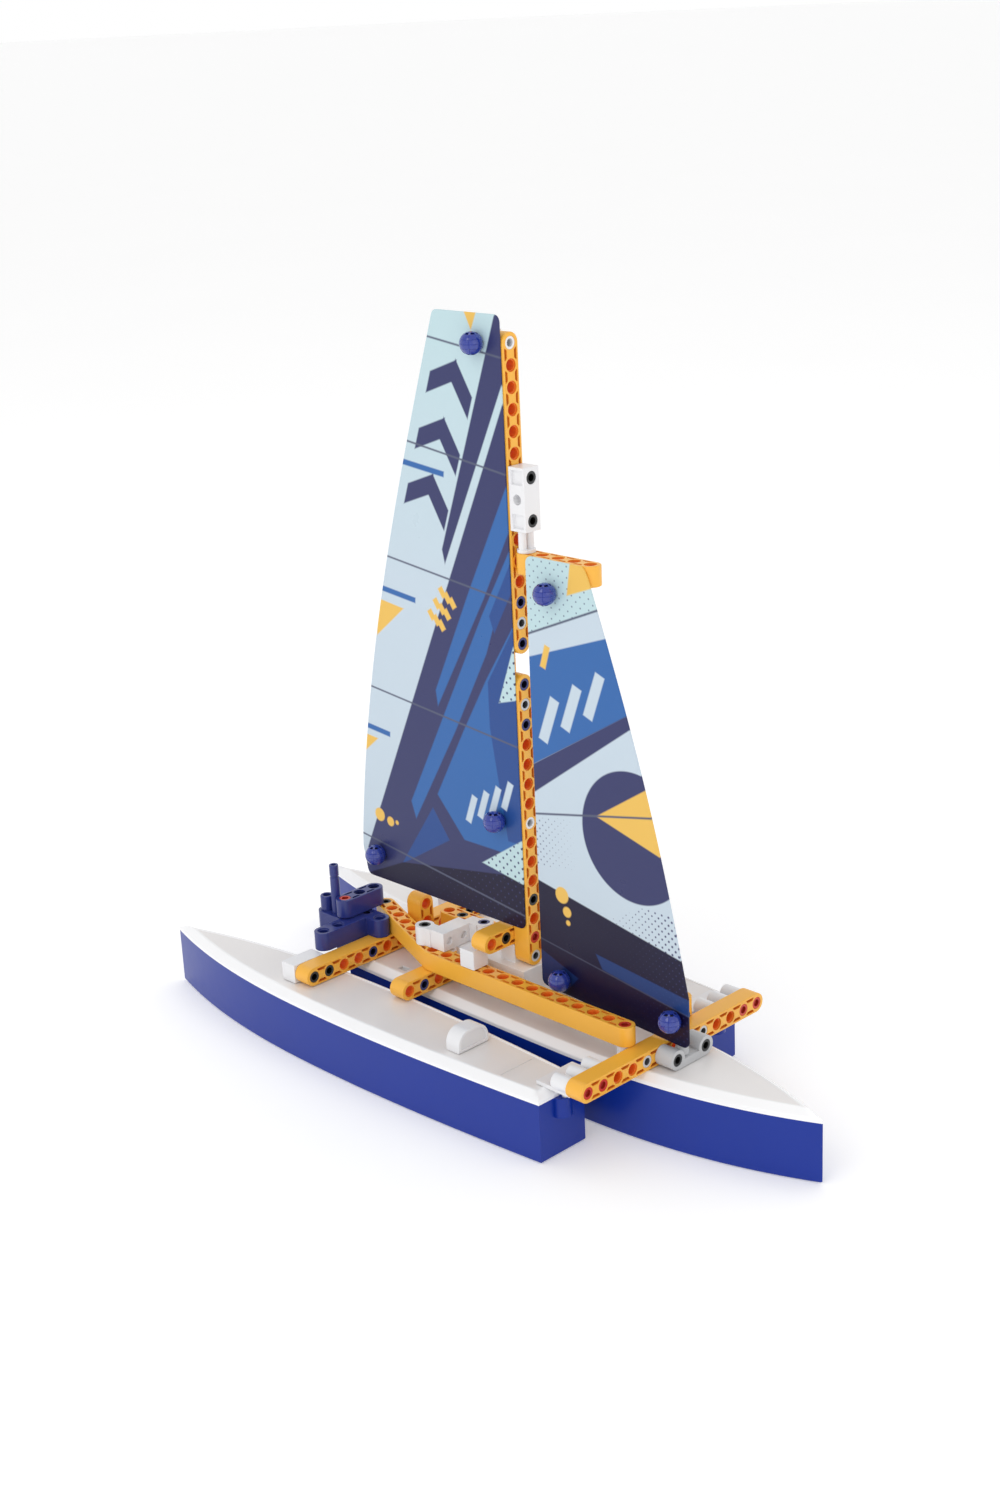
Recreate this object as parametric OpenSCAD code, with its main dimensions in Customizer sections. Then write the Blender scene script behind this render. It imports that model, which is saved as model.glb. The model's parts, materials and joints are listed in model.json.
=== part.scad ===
// Construction-kit sailing trimaran: three hulls, perforated beams, a two-part mast and two stiff sails.
// +X points to the bow, +Y to port, +Z up. The hull bottoms stand on Z = 0, and the origin is
// under the middle of the overall length. Grid places are given in hole pitches, with X = 0 at
// the bow crossbeam, Y = 0 on the centreline and Z = 0 at the middle height of the crossbeams.

/* [Kit system] */
// Distance between neighbouring beam holes
pitch = 10; // [9:0.5:12]
// Play left between two beams that lie side by side
beam_gap = 0.2; // [0.1:0.05:0.4]
// Diameter of the round beam holes
hole_d = 5; // [4.4:0.1:5.6]
// Diameter of the shallow recess around each beam hole
recess_d = 6.2; // [6:0.1:7]
// Depth of that recess
recess_depth = 0.8; // [0.5:0.1:1.2]
// Radial clearance of a pin in its hole
pin_clearance = 0.05; // [0.02:0.01:0.1]

/* [Hulls] */
// Length of the centre hull
centre_length = 290; // [240:5:360]
// Greatest width of the centre hull
centre_width = 53; // [40:1:60]
// Distance from the bow crossbeam to the tip of the bow
bow_overhang = 90; // [60:5:120]
// Length of one float
float_length = 290; // [240:5:360]
// Greatest width of one float
float_width = 42; // [34:1:48]
// Distance from the bow crossbeam back to the flat front end of a float
float_setback = 17; // [10:1:30]
// Depth of the blue shells
hull_depth = 30; // [20:1:45]
// Wall thickness of the blue shells
hull_wall = 1.6; // [1:0.2:3]
// Thickness of the white decks
deck_thickness = 5; // [4:0.5:8]
// Width of the sloping rim around a deck
rim_width = 4; // [2:0.5:6]

/* [Frame] */
// Number of holes in a crossbeam
crossbeam_holes = 13; // [13:2:17]
// Number of holes in the straight part of the bent starboard rail
rail_holes = 14; // [14:1:15]
// Number of holes in the slanting arm of the starboard rail
arm_holes = 7; // [7:1:7]
// Angle of that arm to the centreline
arm_angle = 22; // [21:0.5:23]
// Number of holes in the straight port rail
port_rail_holes = 17; // [12:1:17]

/* [Rig] */
// Number of holes in each of the two mast beams
mast_holes = 15; // [9:1:19]
// Number of holes in the beam at the head of the jib
jib_head_holes = 5; // [3:1:6]
// Thickness of the sail sheets
sail_thickness = 0.8; // [0.5:0.1:1.5]
// Diameter of the ball knobs that clamp the sails
ball_d = 11; // [9:0.5:13.5]
// Running clearance between a moving piece and what it turns against
joint_gap = 0.3; // [0.3:0.05:0.6]

/* [Helm] */
// Height of the handle rod above the helm frame
handle_height = 27; // [15:1:40]
// Diameter of the handle rod
handle_d = 4.5; // [3:0.1:4.8]

/* [Hidden] */
$fn = 48;

beam_side = pitch - beam_gap;
pin_d = hole_d - 2 * pin_clearance;
collar_d = recess_d - 0.2;
collar_t = recess_depth - 0.1;
pin_inset = 0.1;
eps = 0.5;

// Frame origin: middle of the overall length, under the hulls
overall_aft = -float_setback - float_length;
x_ref = -(bow_overhang + overall_aft) / 2;
z_ref = hull_depth + deck_thickness + pitch / 2;
deck_top = -pitch / 2 + beam_gap / 2;

// Stations along the boat, in pitches
mid_x = -14;
stern_x = -(rail_holes + 5);
mast_x = -9;
behind_mast = mast_x - 1;
rail_x0 = -0.85;
rail_y = 2;
bend_x = rail_x0 - (rail_holes - 1);
arm_end = [bend_x - arm_holes * cos(arm_angle), -rail_y + arm_holes * sin(arm_angle)];
arm_first = [bend_x - cos(arm_angle), -rail_y + sin(arm_angle)];
brace_block_x = rail_x0 - 10;
cross_end = (crossbeam_holes - 1) / 2;
float_y = (crossbeam_holes / 2 - 1) * pitch;
helm_y = -2;
tiller_x = stern_x - 1.5;
handle_x = tiller_x - 0.75;

// Heights of the rig, in pitches
mast_foot = 2;
brace_z = mast_foot + 1;
boom_z = mast_foot + 3;
tack_z = mast_foot + 7;
splice_z = mast_foot + mast_holes - 3;
upper_foot = mast_foot + mast_holes + 1;
mast_top = upper_foot + mast_holes - 1;
block_z = upper_foot + 6;
jib_head_z = block_z - 2;
boom_holes = 9;
clew_x = behind_mast - boom_holes;
jib_x = -6;
jib_tack_x = 1;

// Sail plane and ball places, in millimetres
sail_face = -pitch / 2;
sail_front = sail_face - sail_thickness;
ball_flat = sail_front - joint_gap;
ball_seat = ball_d * 0.336;
ball_y = ball_flat - ball_seat;
ball_bore_end = ball_y - ball_d * 0.25;
ball_steps = 20;
rail_inner = -rail_y * pitch + beam_side / 2;
rail_top = pitch + beam_side / 2;
ball_reach = ball_d / 2 + 0.4;
rail_miss = ball_y - rail_inner;
jib_foot_z = (rail_top + sqrt(max(0, ball_reach * ball_reach - rail_miss * rail_miss))) / pitch;
jib_tack_z = jib_foot_z + 0.05;
sail_hole_d = hole_d + 0.6;

// A grid place
module at(x, y, z) {
    translate([x * pitch + x_ref, y * pitch, z * pitch + z_ref]) children();
}

// Turns local Z to +X, with local X going down
module face_bow() {
    rotate([0, 90, 0]) children();
}

// ---- Shared kit shapes ----

// A straight hole with a recess at both faces, along local Z
module beam_bore() {
    cylinder(d = hole_d, h = pitch + eps, center = true);
    for (side = [-1, 1])
        translate([0, 0, side * (beam_side / 2 - recess_depth / 2 + eps / 2)])
            cylinder(d = recess_d, h = recess_depth + eps, center = true);
}

// A bar with round ends from the origin along local X, over a number of pitches
module round_bar(pitches) {
    translate([0, -beam_side / 2, -beam_side / 2])
        cube([pitches * pitch, beam_side, beam_side]);
    for (x = [0, pitches * pitch])
        translate([x, 0, 0]) cylinder(d = beam_side, h = beam_side, center = true);
}

// A beam with its first hole at the origin, running along local X, holes along local Z
module beam(holes) {
    difference() {
        round_bar(holes - 1);
        for (i = [0 : holes - 1])
            translate([i * pitch, 0, 0]) beam_bore();
    }
}

// A beam across the boat with its holes along X, centred on the centreline
module crossbeam(holes) {
    translate([0, -(holes - 1) / 2 * pitch, 0]) rotate([90, 0, 90]) beam(holes);
}

// An upright beam with its holes along X, lowest hole at the origin
module upright_beam(holes) {
    rotate([0, -90, 0]) beam(holes);
}

// A plain block centred at the origin, its size in pitches
module block(size) {
    cube([for (s = size) s * pitch - beam_gap], center = true);
}

// A pin whose head lies just inside the face at local Z = 0 and whose shaft runs down
module pin(length) {
    translate([0, 0, -length]) cylinder(d = pin_d, h = length - pin_inset);
    translate([0, 0, -collar_t]) cylinder(d = collar_d, h = collar_t - pin_inset);
}

// A pin along X through the beam whose centre is at the given place, with its head to the bow
module pin_x(x, y, z, length) {
    at(x, y, z) translate([beam_side / 2, 0, 0]) face_bow() pin(length);
}

// A pin along Z through the beam whose centre is at the given place, with its head up
module pin_z(x, y, z, length) {
    at(x, y, z) translate([0, 0, beam_side / 2]) pin(length);
}

two_beams = 2 * pitch - 1;
one_beam = beam_side - 0.4;

// ---- Hulls ----

// Half width of a hull at a share t of its length from the sharp tip
function hull_half(t, half, end_half, peak, fullness) =
    t < peak ? half * (1 - pow(1 - t / peak, fullness))
             : half - (half - end_half) * pow((t - peak) / (1 - peak), 1.7);

// Outline of a hull with its tip at the origin, running along local +X
function hull_outline(len, half, end_half, peak, fullness, steps, inset) =
    let (
        a = inset * 2.2,
        side = [for (i = [0 : steps])
            let (t = i / steps, x = a + (len - a - inset) * t)
            [x, max(0.01, hull_half(x / len, half, end_half, peak, fullness) - inset)]])
    concat([[a, 0]], [for (i = [1 : steps]) side[i]],
        [for (i = [steps : -1 : 1]) [side[i][0], -side[i][1]]]);

centre_end = centre_width / 2 * 0.91;
float_end = float_width / 2 * 0.71;
outline_steps = 24;

module centre_outline(inset) {
    translate([bow_overhang + x_ref, 0])
        mirror([1, 0])
            polygon(hull_outline(centre_length, centre_width / 2, centre_end, 0.5, 2.45,
                outline_steps, inset));
}

module float_outline(inset) {
    translate([overall_aft + x_ref, 0])
        polygon(hull_outline(float_length, float_width / 2, float_end, 0.57, 2.6,
            outline_steps, inset));
}

module shell_of(depth) {
    difference() {
        linear_extrude(depth) children(0);
        translate([0, 0, hull_wall]) linear_extrude(depth) children(1);
    }
}

module deck_of(lip) {
    translate([0, 0, hull_depth]) linear_extrude(lip) children(0);
    translate([0, 0, hull_depth]) linear_extrude(deck_thickness) children(1);
}

module centre_hull() {
    color("royalblue") shell_of(hull_depth) {
        centre_outline(0);
        centre_outline(hull_wall);
    }
}

deck_lip = deck_thickness * 0.4;
pocket = [6, 4, 2];

module centre_deck() {
    color("white") difference() {
        deck_of(deck_lip) {
            centre_outline(0);
            centre_outline(rim_width);
        }
        for (side = [-1, 1])
            at(-16.6, side * 1.6, 0)
                translate([0, 0, deck_top - beam_gap / 2]) cube(pocket, center = true);
    }
}

boss_r = pitch / 2;

module float_hull(side) {
    translate([0, side * float_y, 0]) {
        shell_of(hull_depth) {
            float_outline(0);
            float_outline(hull_wall);
        }
        difference() {
            translate([-float_setback + x_ref, 0, hull_depth - pitch])
                cylinder(r = boss_r, h = pitch);
            translate([-float_setback + x_ref - pitch, -pitch, hull_depth - 2 * pitch])
                cube([pitch - hull_wall / 2, 2 * pitch, 3 * pitch]);
        }
    }
}

module float_deck(side) {
    translate([0, side * float_y, 0]) deck_of(deck_lip) {
        float_outline(0);
        float_outline(rim_width);
    }
}

module float_hull_starboard() { color("royalblue") float_hull(-1); }
module float_hull_port() { color("royalblue") float_hull(1); }
module float_deck_starboard() { color("white") float_deck(-1); }
module float_deck_port() { color("white") float_deck(1); }

fitting_length = 9;
fitting_width = 22;
fitting_height = 10.5;
fitting_crown_r = 0.495 * fitting_height;

// Raised fitting with a rounded top in the middle of a float deck
module deck_fitting(side) {
    translate([-7.4 * pitch + x_ref - fitting_length, side * float_y, z_ref - pitch / 2]) {
        translate([0, -fitting_width / 2, 0])
            cube([fitting_length, fitting_width, fitting_height - fitting_crown_r]);
        difference() {
            translate([0, 0, fitting_height - fitting_crown_r])
                face_bow() cylinder(r = fitting_crown_r, h = fitting_length);
            translate([fitting_length - 1, -3, fitting_height - 7]) cube([2, 6, 4]);
        }
    }
}

module deck_fitting_starboard() { color("white") deck_fitting(-1); }
module deck_fitting_port() { color("white") deck_fitting(1); }

peg_r = 4;
peg_length = pitch;
plate_t = 2;

// Bracket with three pegs that carries the front end of a float on the bow crossbeam
module bow_bracket(side) {
    plate_x = -float_setback - 9;
    difference() {
        union() {
            for (i = [0 : 2])
                at(0, side * (cross_end - i), 0)
                    translate([-pitch / 2 - peg_length, 0, 0])
                        face_bow() cylinder(r = peg_r, h = peg_length);
            translate([x_ref + plate_x, side * (cross_end - 1) * pitch - pitch * 1.2,
                z_ref - pitch / 2])
                cube([-plate_x - pitch / 2, pitch * 2.4, plate_t]);
        }
        for (i = [0 : 2])
            at(0, side * (cross_end - i), 0)
                translate([-pitch / 2 - peg_length - eps, 0, 0])
                    face_bow() cylinder(d = hole_d, h = peg_length + 2 * eps);
    }
    translate([x_ref - float_setback + boss_r / 2 + 0.2, side * float_y, hull_depth])
        cylinder(r = boss_r / 3, h = deck_thickness + plate_t / 2);
}

module bow_bracket_starboard() { color("white") bow_bracket(-1); }
module bow_bracket_port() { color("white") bow_bracket(1); }

// Block behind the stern crossbeam on a float deck, with two holes for pins
module stern_bracket(side) {
    difference() {
        at(stern_x - 1, side * (cross_end - 0.5), 0) block([1, 2, 1]);
        for (i = [0, 1])
            at(stern_x - 1, side * (cross_end - i), 0)
                face_bow() cylinder(d = hole_d, h = pitch + eps, center = true);
    }
}

module stern_bracket_starboard() { color("white") stern_bracket(-1); }
module stern_bracket_port() { color("white") stern_bracket(1); }

// ---- Frame ----

module bow_crossbeam() {
    color("orange") at(0, 0, 0) crossbeam(crossbeam_holes);
}

module mid_crossbeam() {
    color("orange") at(mid_x, 0, 0) crossbeam(9);
}

module stern_crossbeam() {
    color("orange") at(stern_x, 0, 0) crossbeam(crossbeam_holes);
}

// Bent rail: the arm is drawn from its own outline, so that it shares the straight part's height exactly
module starboard_rail() {
    bend = [-(rail_holes - 1) * pitch, 0];
    along = [-cos(arm_angle), sin(arm_angle)];
    half_width = [sin(arm_angle), cos(arm_angle)] * beam_side / 2;
    tip = bend + arm_holes * pitch * along;
    color("orange") at(rail_x0, -rail_y, 1) difference() {
        union() {
            rotate([0, 0, 180]) round_bar(rail_holes - 1);
            linear_extrude(beam_side, center = true)
                polygon([bend - half_width, tip - half_width, tip + half_width, bend + half_width]);
            translate(tip) cylinder(d = beam_side, h = beam_side, center = true);
        }
        for (i = [0 : rail_holes - 1])
            translate([-i * pitch, 0, 0]) beam_bore();
        for (i = [1 : arm_holes])
            translate(bend + i * pitch * along) beam_bore();
    }
}

module port_rail() {
    color("orange") at(rail_x0, rail_y, 1) rotate([0, 0, 180]) beam(port_rail_holes);
}

// Round posts behind the bow crossbeam that carry the front ends of the rails
module rail_posts() {
    post_d = beam_side * 0.8;
    color("white") for (side = [-1, 1]) difference() {
        at(0, side * rail_y, 0) translate([-pitch / 2 - post_d / 2, 0, 0])
            cylinder(d = post_d, h = beam_side, center = true);
        at(0, side * rail_y, 0) face_bow() cylinder(d = hole_d, h = 3 * pitch, center = true);
        at(rail_x0, side * rail_y, 0.5) cylinder(d = hole_d, h = 0.44 * pitch, center = true);
    }
}

ear_y = 1;

// Double-ear connector in front of the bow crossbeam
module bow_connector() {
    color("gainsboro") difference() {
        union() {
            for (side = [-1, 1])
                at(1, side * ear_y, 0) face_bow() cylinder(d = beam_side, h = beam_side, center = true);
            at(1, 0, -0.3) block([1, 2 * ear_y, 0.42]);
        }
        for (side = [-1, 1])
            at(1, side * ear_y, 0) face_bow() beam_bore();
    }
}

step_aft = -13.2;
step_bow = -8.4;
step_top = mast_foot - 0.5;

// Step that the mast stands on, with a lug behind the mast foot
module mast_step() {
    color("white") difference() {
        union() {
            at((step_aft + step_bow) / 2, 0, (step_top - 0.5) / 2)
                block([step_bow - step_aft, 2, step_top + 0.5]);
            at(behind_mast, 0, mast_foot - 0.1) block([1, 1, 1.16]);
        }
        at(behind_mast, 0, mast_foot) face_bow() cylinder(d = hole_d, h = 2 * pitch, center = true);
        at(bridge_far[0], bridge_far[1], step_top) cylinder(d = hole_d, h = pitch, center = true);
    }
}

module mast_lower() {
    color("orange") at(mast_x, 0, mast_foot) upright_beam(mast_holes);
}

module mast_upper() {
    color("orange") at(mast_x, 0, upper_foot) upright_beam(mast_holes);
}

module mast_splice() {
    color("orange") at(behind_mast, 0, splice_z) upright_beam(7);
}

module mast_brace() {
    color("orange") at(behind_mast, 0, brace_z) crossbeam(5);
}

// Blocks on the rails that carry the ends of the mast brace
module brace_blocks() {
    color("white") for (side = [-1, 1]) at(brace_block_x, side * rail_y, 2) {
        block([1, 1, 1]);
        translate([0, 0, -pitch * 1.3]) cylinder(d = pin_d, h = pitch);
    }
}

bridge_far = [-12.66, 0.5];
bridge_block = [[-14.1, -1.92], [-13.1, 0.1]];

// White bridge from the first hole of the slanting arm to the mast step
module mid_bridge() {
    near = arm_first;
    far = bridge_far;
    b = bridge_block;
    color("white") difference() {
        union() {
            at(near[0], near[1], 2) cylinder(d = beam_side, h = beam_side, center = true);
            at((b[0][0] + b[1][0]) / 2, (b[0][1] + b[1][1]) / 2, 2)
                block([b[1][0] - b[0][0], b[1][1] - b[0][1], 1]);
            at((near[0] + b[0][0]) / 2, near[1], 2)
                block([b[0][0] - near[0] + 0.1, 0.7, 1]);
            at(far[0], far[1], 2) cylinder(d = beam_side, h = beam_side, center = true);
            at((far[0] + b[1][0]) / 2 - 0.25, 0.3, 2) block([1, 0.8, 1]);
        }
        at(near[0], near[1], 2) beam_bore();
        at(far[0], far[1], 2) beam_bore();
        for (y = [-1.5, -0.5])
            at(b[1][0], y, 2) face_bow() cylinder(d = hole_d * 0.8, h = 4, center = true);
    }
}

// ---- Rig fittings ----

module masthead_block() {
    color("white") difference() {
        at(mast_x + 1, 0, block_z + 1) block([1, 1, 3]);
        for (z = [0, 2])
            at(mast_x + 1, 0, block_z + z) face_bow() beam_bore();
        at(mast_x + 1, 0, block_z + 1) rotate([90, 0, 0])
            cylinder(d = hole_d, h = pitch + eps, center = true);
    }
}

prong_r = 1.9;

// Two prongs between the masthead block and the head beam of the jib, with a peg below
module masthead_stem() {
    color("white") at(mast_x + 1, 0, jib_head_z) {
        translate([0, 0, -pitch / 2 + 0.6]) cylinder(d = pin_d, h = pitch);
        translate([0, 0, pitch / 2]) cylinder(d = beam_side * 0.9, h = 1.5);
        for (side = [-1, 1])
            translate([0, side * prong_r * 1.3, pitch / 2])
                cylinder(r = prong_r, h = pitch);
    }
}

module jib_head_beam() {
    color("orange") at(mast_x + 1, 0, jib_head_z) beam(jib_head_holes);
}

// Block under the head beam with a peg up into it and a cross hole for the knob's axle
module jib_head_block() {
    color("white") difference() {
        at(jib_x, 0, jib_head_z - 1) {
            block([1, 1, 1]);
            cylinder(d = pin_d, h = pitch * 1.35);
        }
        at(jib_x, 0, jib_head_z - 1) axle_bore();
    }
}

// Blind hole from the sail side for a knob's axle
axle_depth = 7;
module axle_bore() {
    translate([0, -pitch / 2 - eps, 0]) rotate([-90, 0, 0])
        cylinder(d = hole_d, h = axle_depth + eps + 0.4);
}

module sail_post(x, bottom, z) {
    height = z - bottom + 0.5;
    difference() {
        at(x, 0, bottom + height / 2) block([1, 1, height]);
        at(x, 0, z) axle_bore();
    }
}

module jib_foot_post() {
    color("white") sail_post(jib_x, -0.5, jib_foot_z);
}

module jib_tack_post() {
    color("gainsboro") sail_post(jib_tack_x, -0.09, jib_tack_z);
}

module boom() {
    color("orange") difference() {
        union() {
            at(behind_mast, 0, boom_z) block([1, 1, 1]);
            at(behind_mast, 0, boom_z) rotate([90, 0, 180]) round_bar(boom_holes);
        }
        at(behind_mast, 0, boom_z) face_bow() cylinder(d = hole_d, h = 1.3 * pitch, center = true);
        for (i = [1 : boom_holes])
            at(behind_mast - i, 0, boom_z) rotate([90, 0, 0]) beam_bore();
    }
}

// Block behind the mast with a peg that shows in the mast's front face
module luff_block(z) {
    difference() {
        at(behind_mast, 0, z) {
            block([1, 1, 1]);
            face_bow() cylinder(d = pin_d, h = 1.5 * pitch - 0.4);
        }
        at(behind_mast, 0, z) axle_bore();
    }
    at(mast_x, 0, z) translate([beam_side / 2 - collar_t, 0, 0])
        face_bow() cylinder(d = collar_d, h = collar_t - pin_inset);
}

module luff_block_head() { color("white") luff_block(mast_top); }
module luff_block_tack() { color("white") luff_block(tack_z); }

// ---- Stern and helm ----

module stern_upright() {
    color("orange") at(stern_x + 1, 1, 0) upright_beam(3);
}

bracket_aft = stern_x - 1.95;
bracket_bow = stern_x - 0.5;

// Block behind the stern crossbeam that holds the helm frame and the slanting arm
module helm_bracket() {
    color("royalblue") difference() {
        at((bracket_aft + bracket_bow) / 2, -0.6, 0)
            block([bracket_bow - bracket_aft, 3.7, 1]);
        at(stern_x - 0.5, helm_y, 0) face_bow() cylinder(d = hole_d, h = 2 * pitch, center = true);
        at(stern_x - 1, -1, 0) cylinder(d = hole_d, h = pitch + eps, center = true);
        at(arm_end[0], arm_end[1], 0) cylinder(d = hole_d, h = pitch + eps, center = true);
    }
}

// Blue frame with three legs: across the boat, forward over the crossbeam and aft
module helm_frame() {
    color("royalblue") at(stern_x - 1, -1, 1) difference() {
        union() {
            rotate([0, 0, -90]) round_bar(3);
            round_bar(1);
            translate([0, -pitch, 0]) rotate([0, 0, 180]) round_bar(2);
        }
        for (place = [[0, 0], [0, -2], [0, -3], [1, 0], [-2, -1]])
            translate([place[0] * pitch, place[1] * pitch, 0]) beam_bore();
        for (x = [tiller_x, handle_x])
            translate([(x - stern_x + 1) * pitch, -pitch, 0])
                cylinder(d = hole_d, h = pitch + eps, center = true);
    }
}

bush_d = 7;
bush_height = 8;

module helm_bush() {
    color("royalblue") at(stern_x - 3, helm_y, 1.5) {
        cylinder(d = bush_d, h = bush_height);
        translate([0, 0, -pitch * 0.8]) cylinder(d = pin_d, h = pitch * 0.8 + 1);
    }
}

module helm_handle() {
    color("royalblue") at(handle_x, helm_y, 1.5) {
        cylinder(d = handle_d, h = handle_height);
        translate([0, 0, -pitch * 0.9]) cylinder(d = pin_d, h = pitch * 0.9);
    }
}

// Bar that swings on the red pin of the helm frame
module tiller_bar() {
    color("royalblue") at(tiller_x, helm_y, 2)
        translate([0, 0, joint_gap]) rotate([0, 0, 90]) beam(3);
}

// ---- Sails and knobs ----

main_foot = 3.55;
main_top = mast_top + 1.3;
main_luff = mast_x + 0.4;
main_clew = clew_x - 1.4;
main_head = mast_x - 3.9;
clew_rise = 1.5;
curve_steps = 14;

// Point on the bowed back edge of a sail at a share u of its height
function bowed(from, to, bulge, skew, u) =
    [from[0] + (to[0] - from[0]) * u + bulge * sin(180 * pow(u, skew)), from[1] + (to[1] - from[1]) * u];

main_points = concat(
    [[main_luff, main_foot], [main_luff, main_top], [main_head, main_top]],
    [for (i = [0 : curve_steps])
        bowed([main_clew, main_foot + clew_rise], [main_head, main_top], -1, 0.85, 1 - i / curve_steps)],
    [[main_clew + 0.3, main_foot]]);

jib_luff = mast_x + 1.45;
jib_top = jib_head_z + 0.5;
jib_corner_z = 0.4;
jib_front = jib_tack_x + 0.8;
jib_head = mast_x + 5.3;

jib_points = concat(
    [[jib_luff, 1], [jib_luff, jib_top]],
    [for (i = [0 : curve_steps])
        bowed([jib_head, jib_top - 0.5], [jib_front, 3], 0.42, 1, i / curve_steps)],
    [[jib_front, jib_corner_z + 0.06]]);

module sail_sheet(points, holes) {
    difference() {
        translate([0, sail_face, 0]) rotate([90, 0, 0]) linear_extrude(sail_thickness)
            polygon([for (q = points) [q[0] * pitch + x_ref, q[1] * pitch + z_ref]]);
        for (q = holes)
            at(q[0], -0.5, q[1]) rotate([90, 0, 0])
                cylinder(d = sail_hole_d, h = 4 * sail_thickness, center = true);
    }
}

main_knobs = [[behind_mast, mast_top], [behind_mast, tack_z], [clew_x, boom_z]];
jib_knobs = [[jib_x, jib_head_z - 1], [jib_x, jib_foot_z], [jib_tack_x, jib_tack_z]];

module main_sail() { color("steelblue") sail_sheet(main_points, main_knobs); }
module jib_sail() { color("steelblue") sail_sheet(jib_points, jib_knobs); }

// Ball with a flat against the sail and a blind hole for its axle
module knob(place) {
    r = ball_d / 2;
    low = asin(-ball_seat / r);
    arc = [for (i = [0 : ball_steps])
        let (a = low + (90 - low) * i / ball_steps) [r * cos(a), r * sin(a)]];
    color("mediumblue") at(place[0], 0, place[1])
        translate([0, ball_y, 0]) rotate([90, 0, 0]) difference() {
            rotate_extrude() polygon(concat([[0, -ball_seat]], arc));
            translate([0, 0, -ball_seat - eps])
                cylinder(d = hole_d, h = ball_seat + ball_d * 0.25 + eps);
        }
}

module knob_main_head() { knob(main_knobs[0]); }
module knob_main_tack() { knob(main_knobs[1]); }
module knob_main_clew() { knob(main_knobs[2]); }
module knob_jib_head() { knob(jib_knobs[0]); }
module knob_jib_foot() { knob(jib_knobs[1]); }
module knob_jib_tack() { knob(jib_knobs[2]); }

// Fixed axles that the knobs turn on
module knob_axles() {
    tip = ball_bore_end + joint_gap;
    color("darkslategray") for (place = concat(main_knobs, jib_knobs))
        at(place[0], 0, place[1]) translate([0, tip, 0]) rotate([-90, 0, 0])
            cylinder(d = pin_d, h = -pitch / 2 + axle_depth - tip);
}

// ---- Pins, grouped by colour ----

module black_pins() {
    color("black") {
        for (side = [-1, 1], i = [0, 1])
            pin_x(stern_x, side * (cross_end - i), 0, two_beams);
        for (side = [-1, 1]) {
            pin_x(1, side * ear_y, 0, two_beams);
            pin_x(behind_mast, side, brace_z, one_beam);
        }
        for (z = [0, 2])
            pin_x(mast_x + 1, 0, block_z + z, two_beams);
        pin_x(mast_x, 0, boom_z, two_beams);
        pin_z(arm_end[0], arm_end[1], 1, two_beams);
        pin_z(arm_first[0], arm_first[1], 2, two_beams);
        pin_z(rail_x0 - port_rail_holes + 2, rail_y, 1, one_beam);
    }
}

module blue_pins() {
    color("darkblue") {
        for (z = [0, 2])
            pin_x(mast_x, 0, splice_z + z, two_beams);
        for (z = [0, 2])
            pin_x(mast_x, 0, upper_foot + z, two_beams);
        for (side = [-1, 1])
            pin_x(mid_x, side * 3, 0, one_beam);
        pin_x(stern_x, helm_y, 0, two_beams);
        pin_x(stern_x + 1, 1, 0, two_beams);
        pin_z(stern_x - 1, -1, 1, two_beams);
        pin_z(bridge_far[0], bridge_far[1], 2, 1.3 * pitch);
    }
}

module white_pins() {
    color("gainsboro") {
        for (side = [-1, 1])
            pin_x(0, side * rail_y, 0, two_beams - 2);
        for (z = [1, 5])
            pin_x(mast_x, 0, splice_z + z, two_beams);
        pin_x(mast_x, 0, mast_foot, two_beams);
    }
}

module red_pins() {
    color("red") {
        for (side = [-1, 1]) {
            for (i = [0, 1])
                pin_x(0, side * (cross_end - i), 0, two_beams);
            pin_z(rail_x0, side * rail_y, 1, 1.15 * pitch);
        }
        pin_x(mast_x, 0, brace_z, two_beams);
        at(tiller_x, helm_y, 2) translate([0, 0, joint_gap + beam_side / 2]) pin(two_beams);
    }
}

centre_hull();
centre_deck();
float_hull_starboard();
float_hull_port();
float_deck_starboard();
float_deck_port();
deck_fitting_starboard();
deck_fitting_port();
bow_bracket_starboard();
bow_bracket_port();
stern_bracket_starboard();
stern_bracket_port();
bow_crossbeam();
mid_crossbeam();
stern_crossbeam();
starboard_rail();
port_rail();
rail_posts();
bow_connector();
mast_step();
mast_lower();
mast_upper();
mast_splice();
mast_brace();
brace_blocks();
mid_bridge();
masthead_block();
masthead_stem();
jib_head_beam();
jib_head_block();
jib_foot_post();
jib_tack_post();
boom();
luff_block_head();
luff_block_tack();
stern_upright();
helm_bracket();
helm_frame();
helm_bush();
helm_handle();
tiller_bar();
main_sail();
jib_sail();
knob_main_head();
knob_main_tack();
knob_main_clew();
knob_jib_head();
knob_jib_foot();
knob_jib_tack();
knob_axles();
black_pins();
blue_pins();
white_pins();
red_pins();
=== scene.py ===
"""Finished pieces of a construction-kit sailing trimaran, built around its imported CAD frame."""

import json
import math

import bmesh
import bpy
from mathutils import Matrix, Vector

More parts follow.
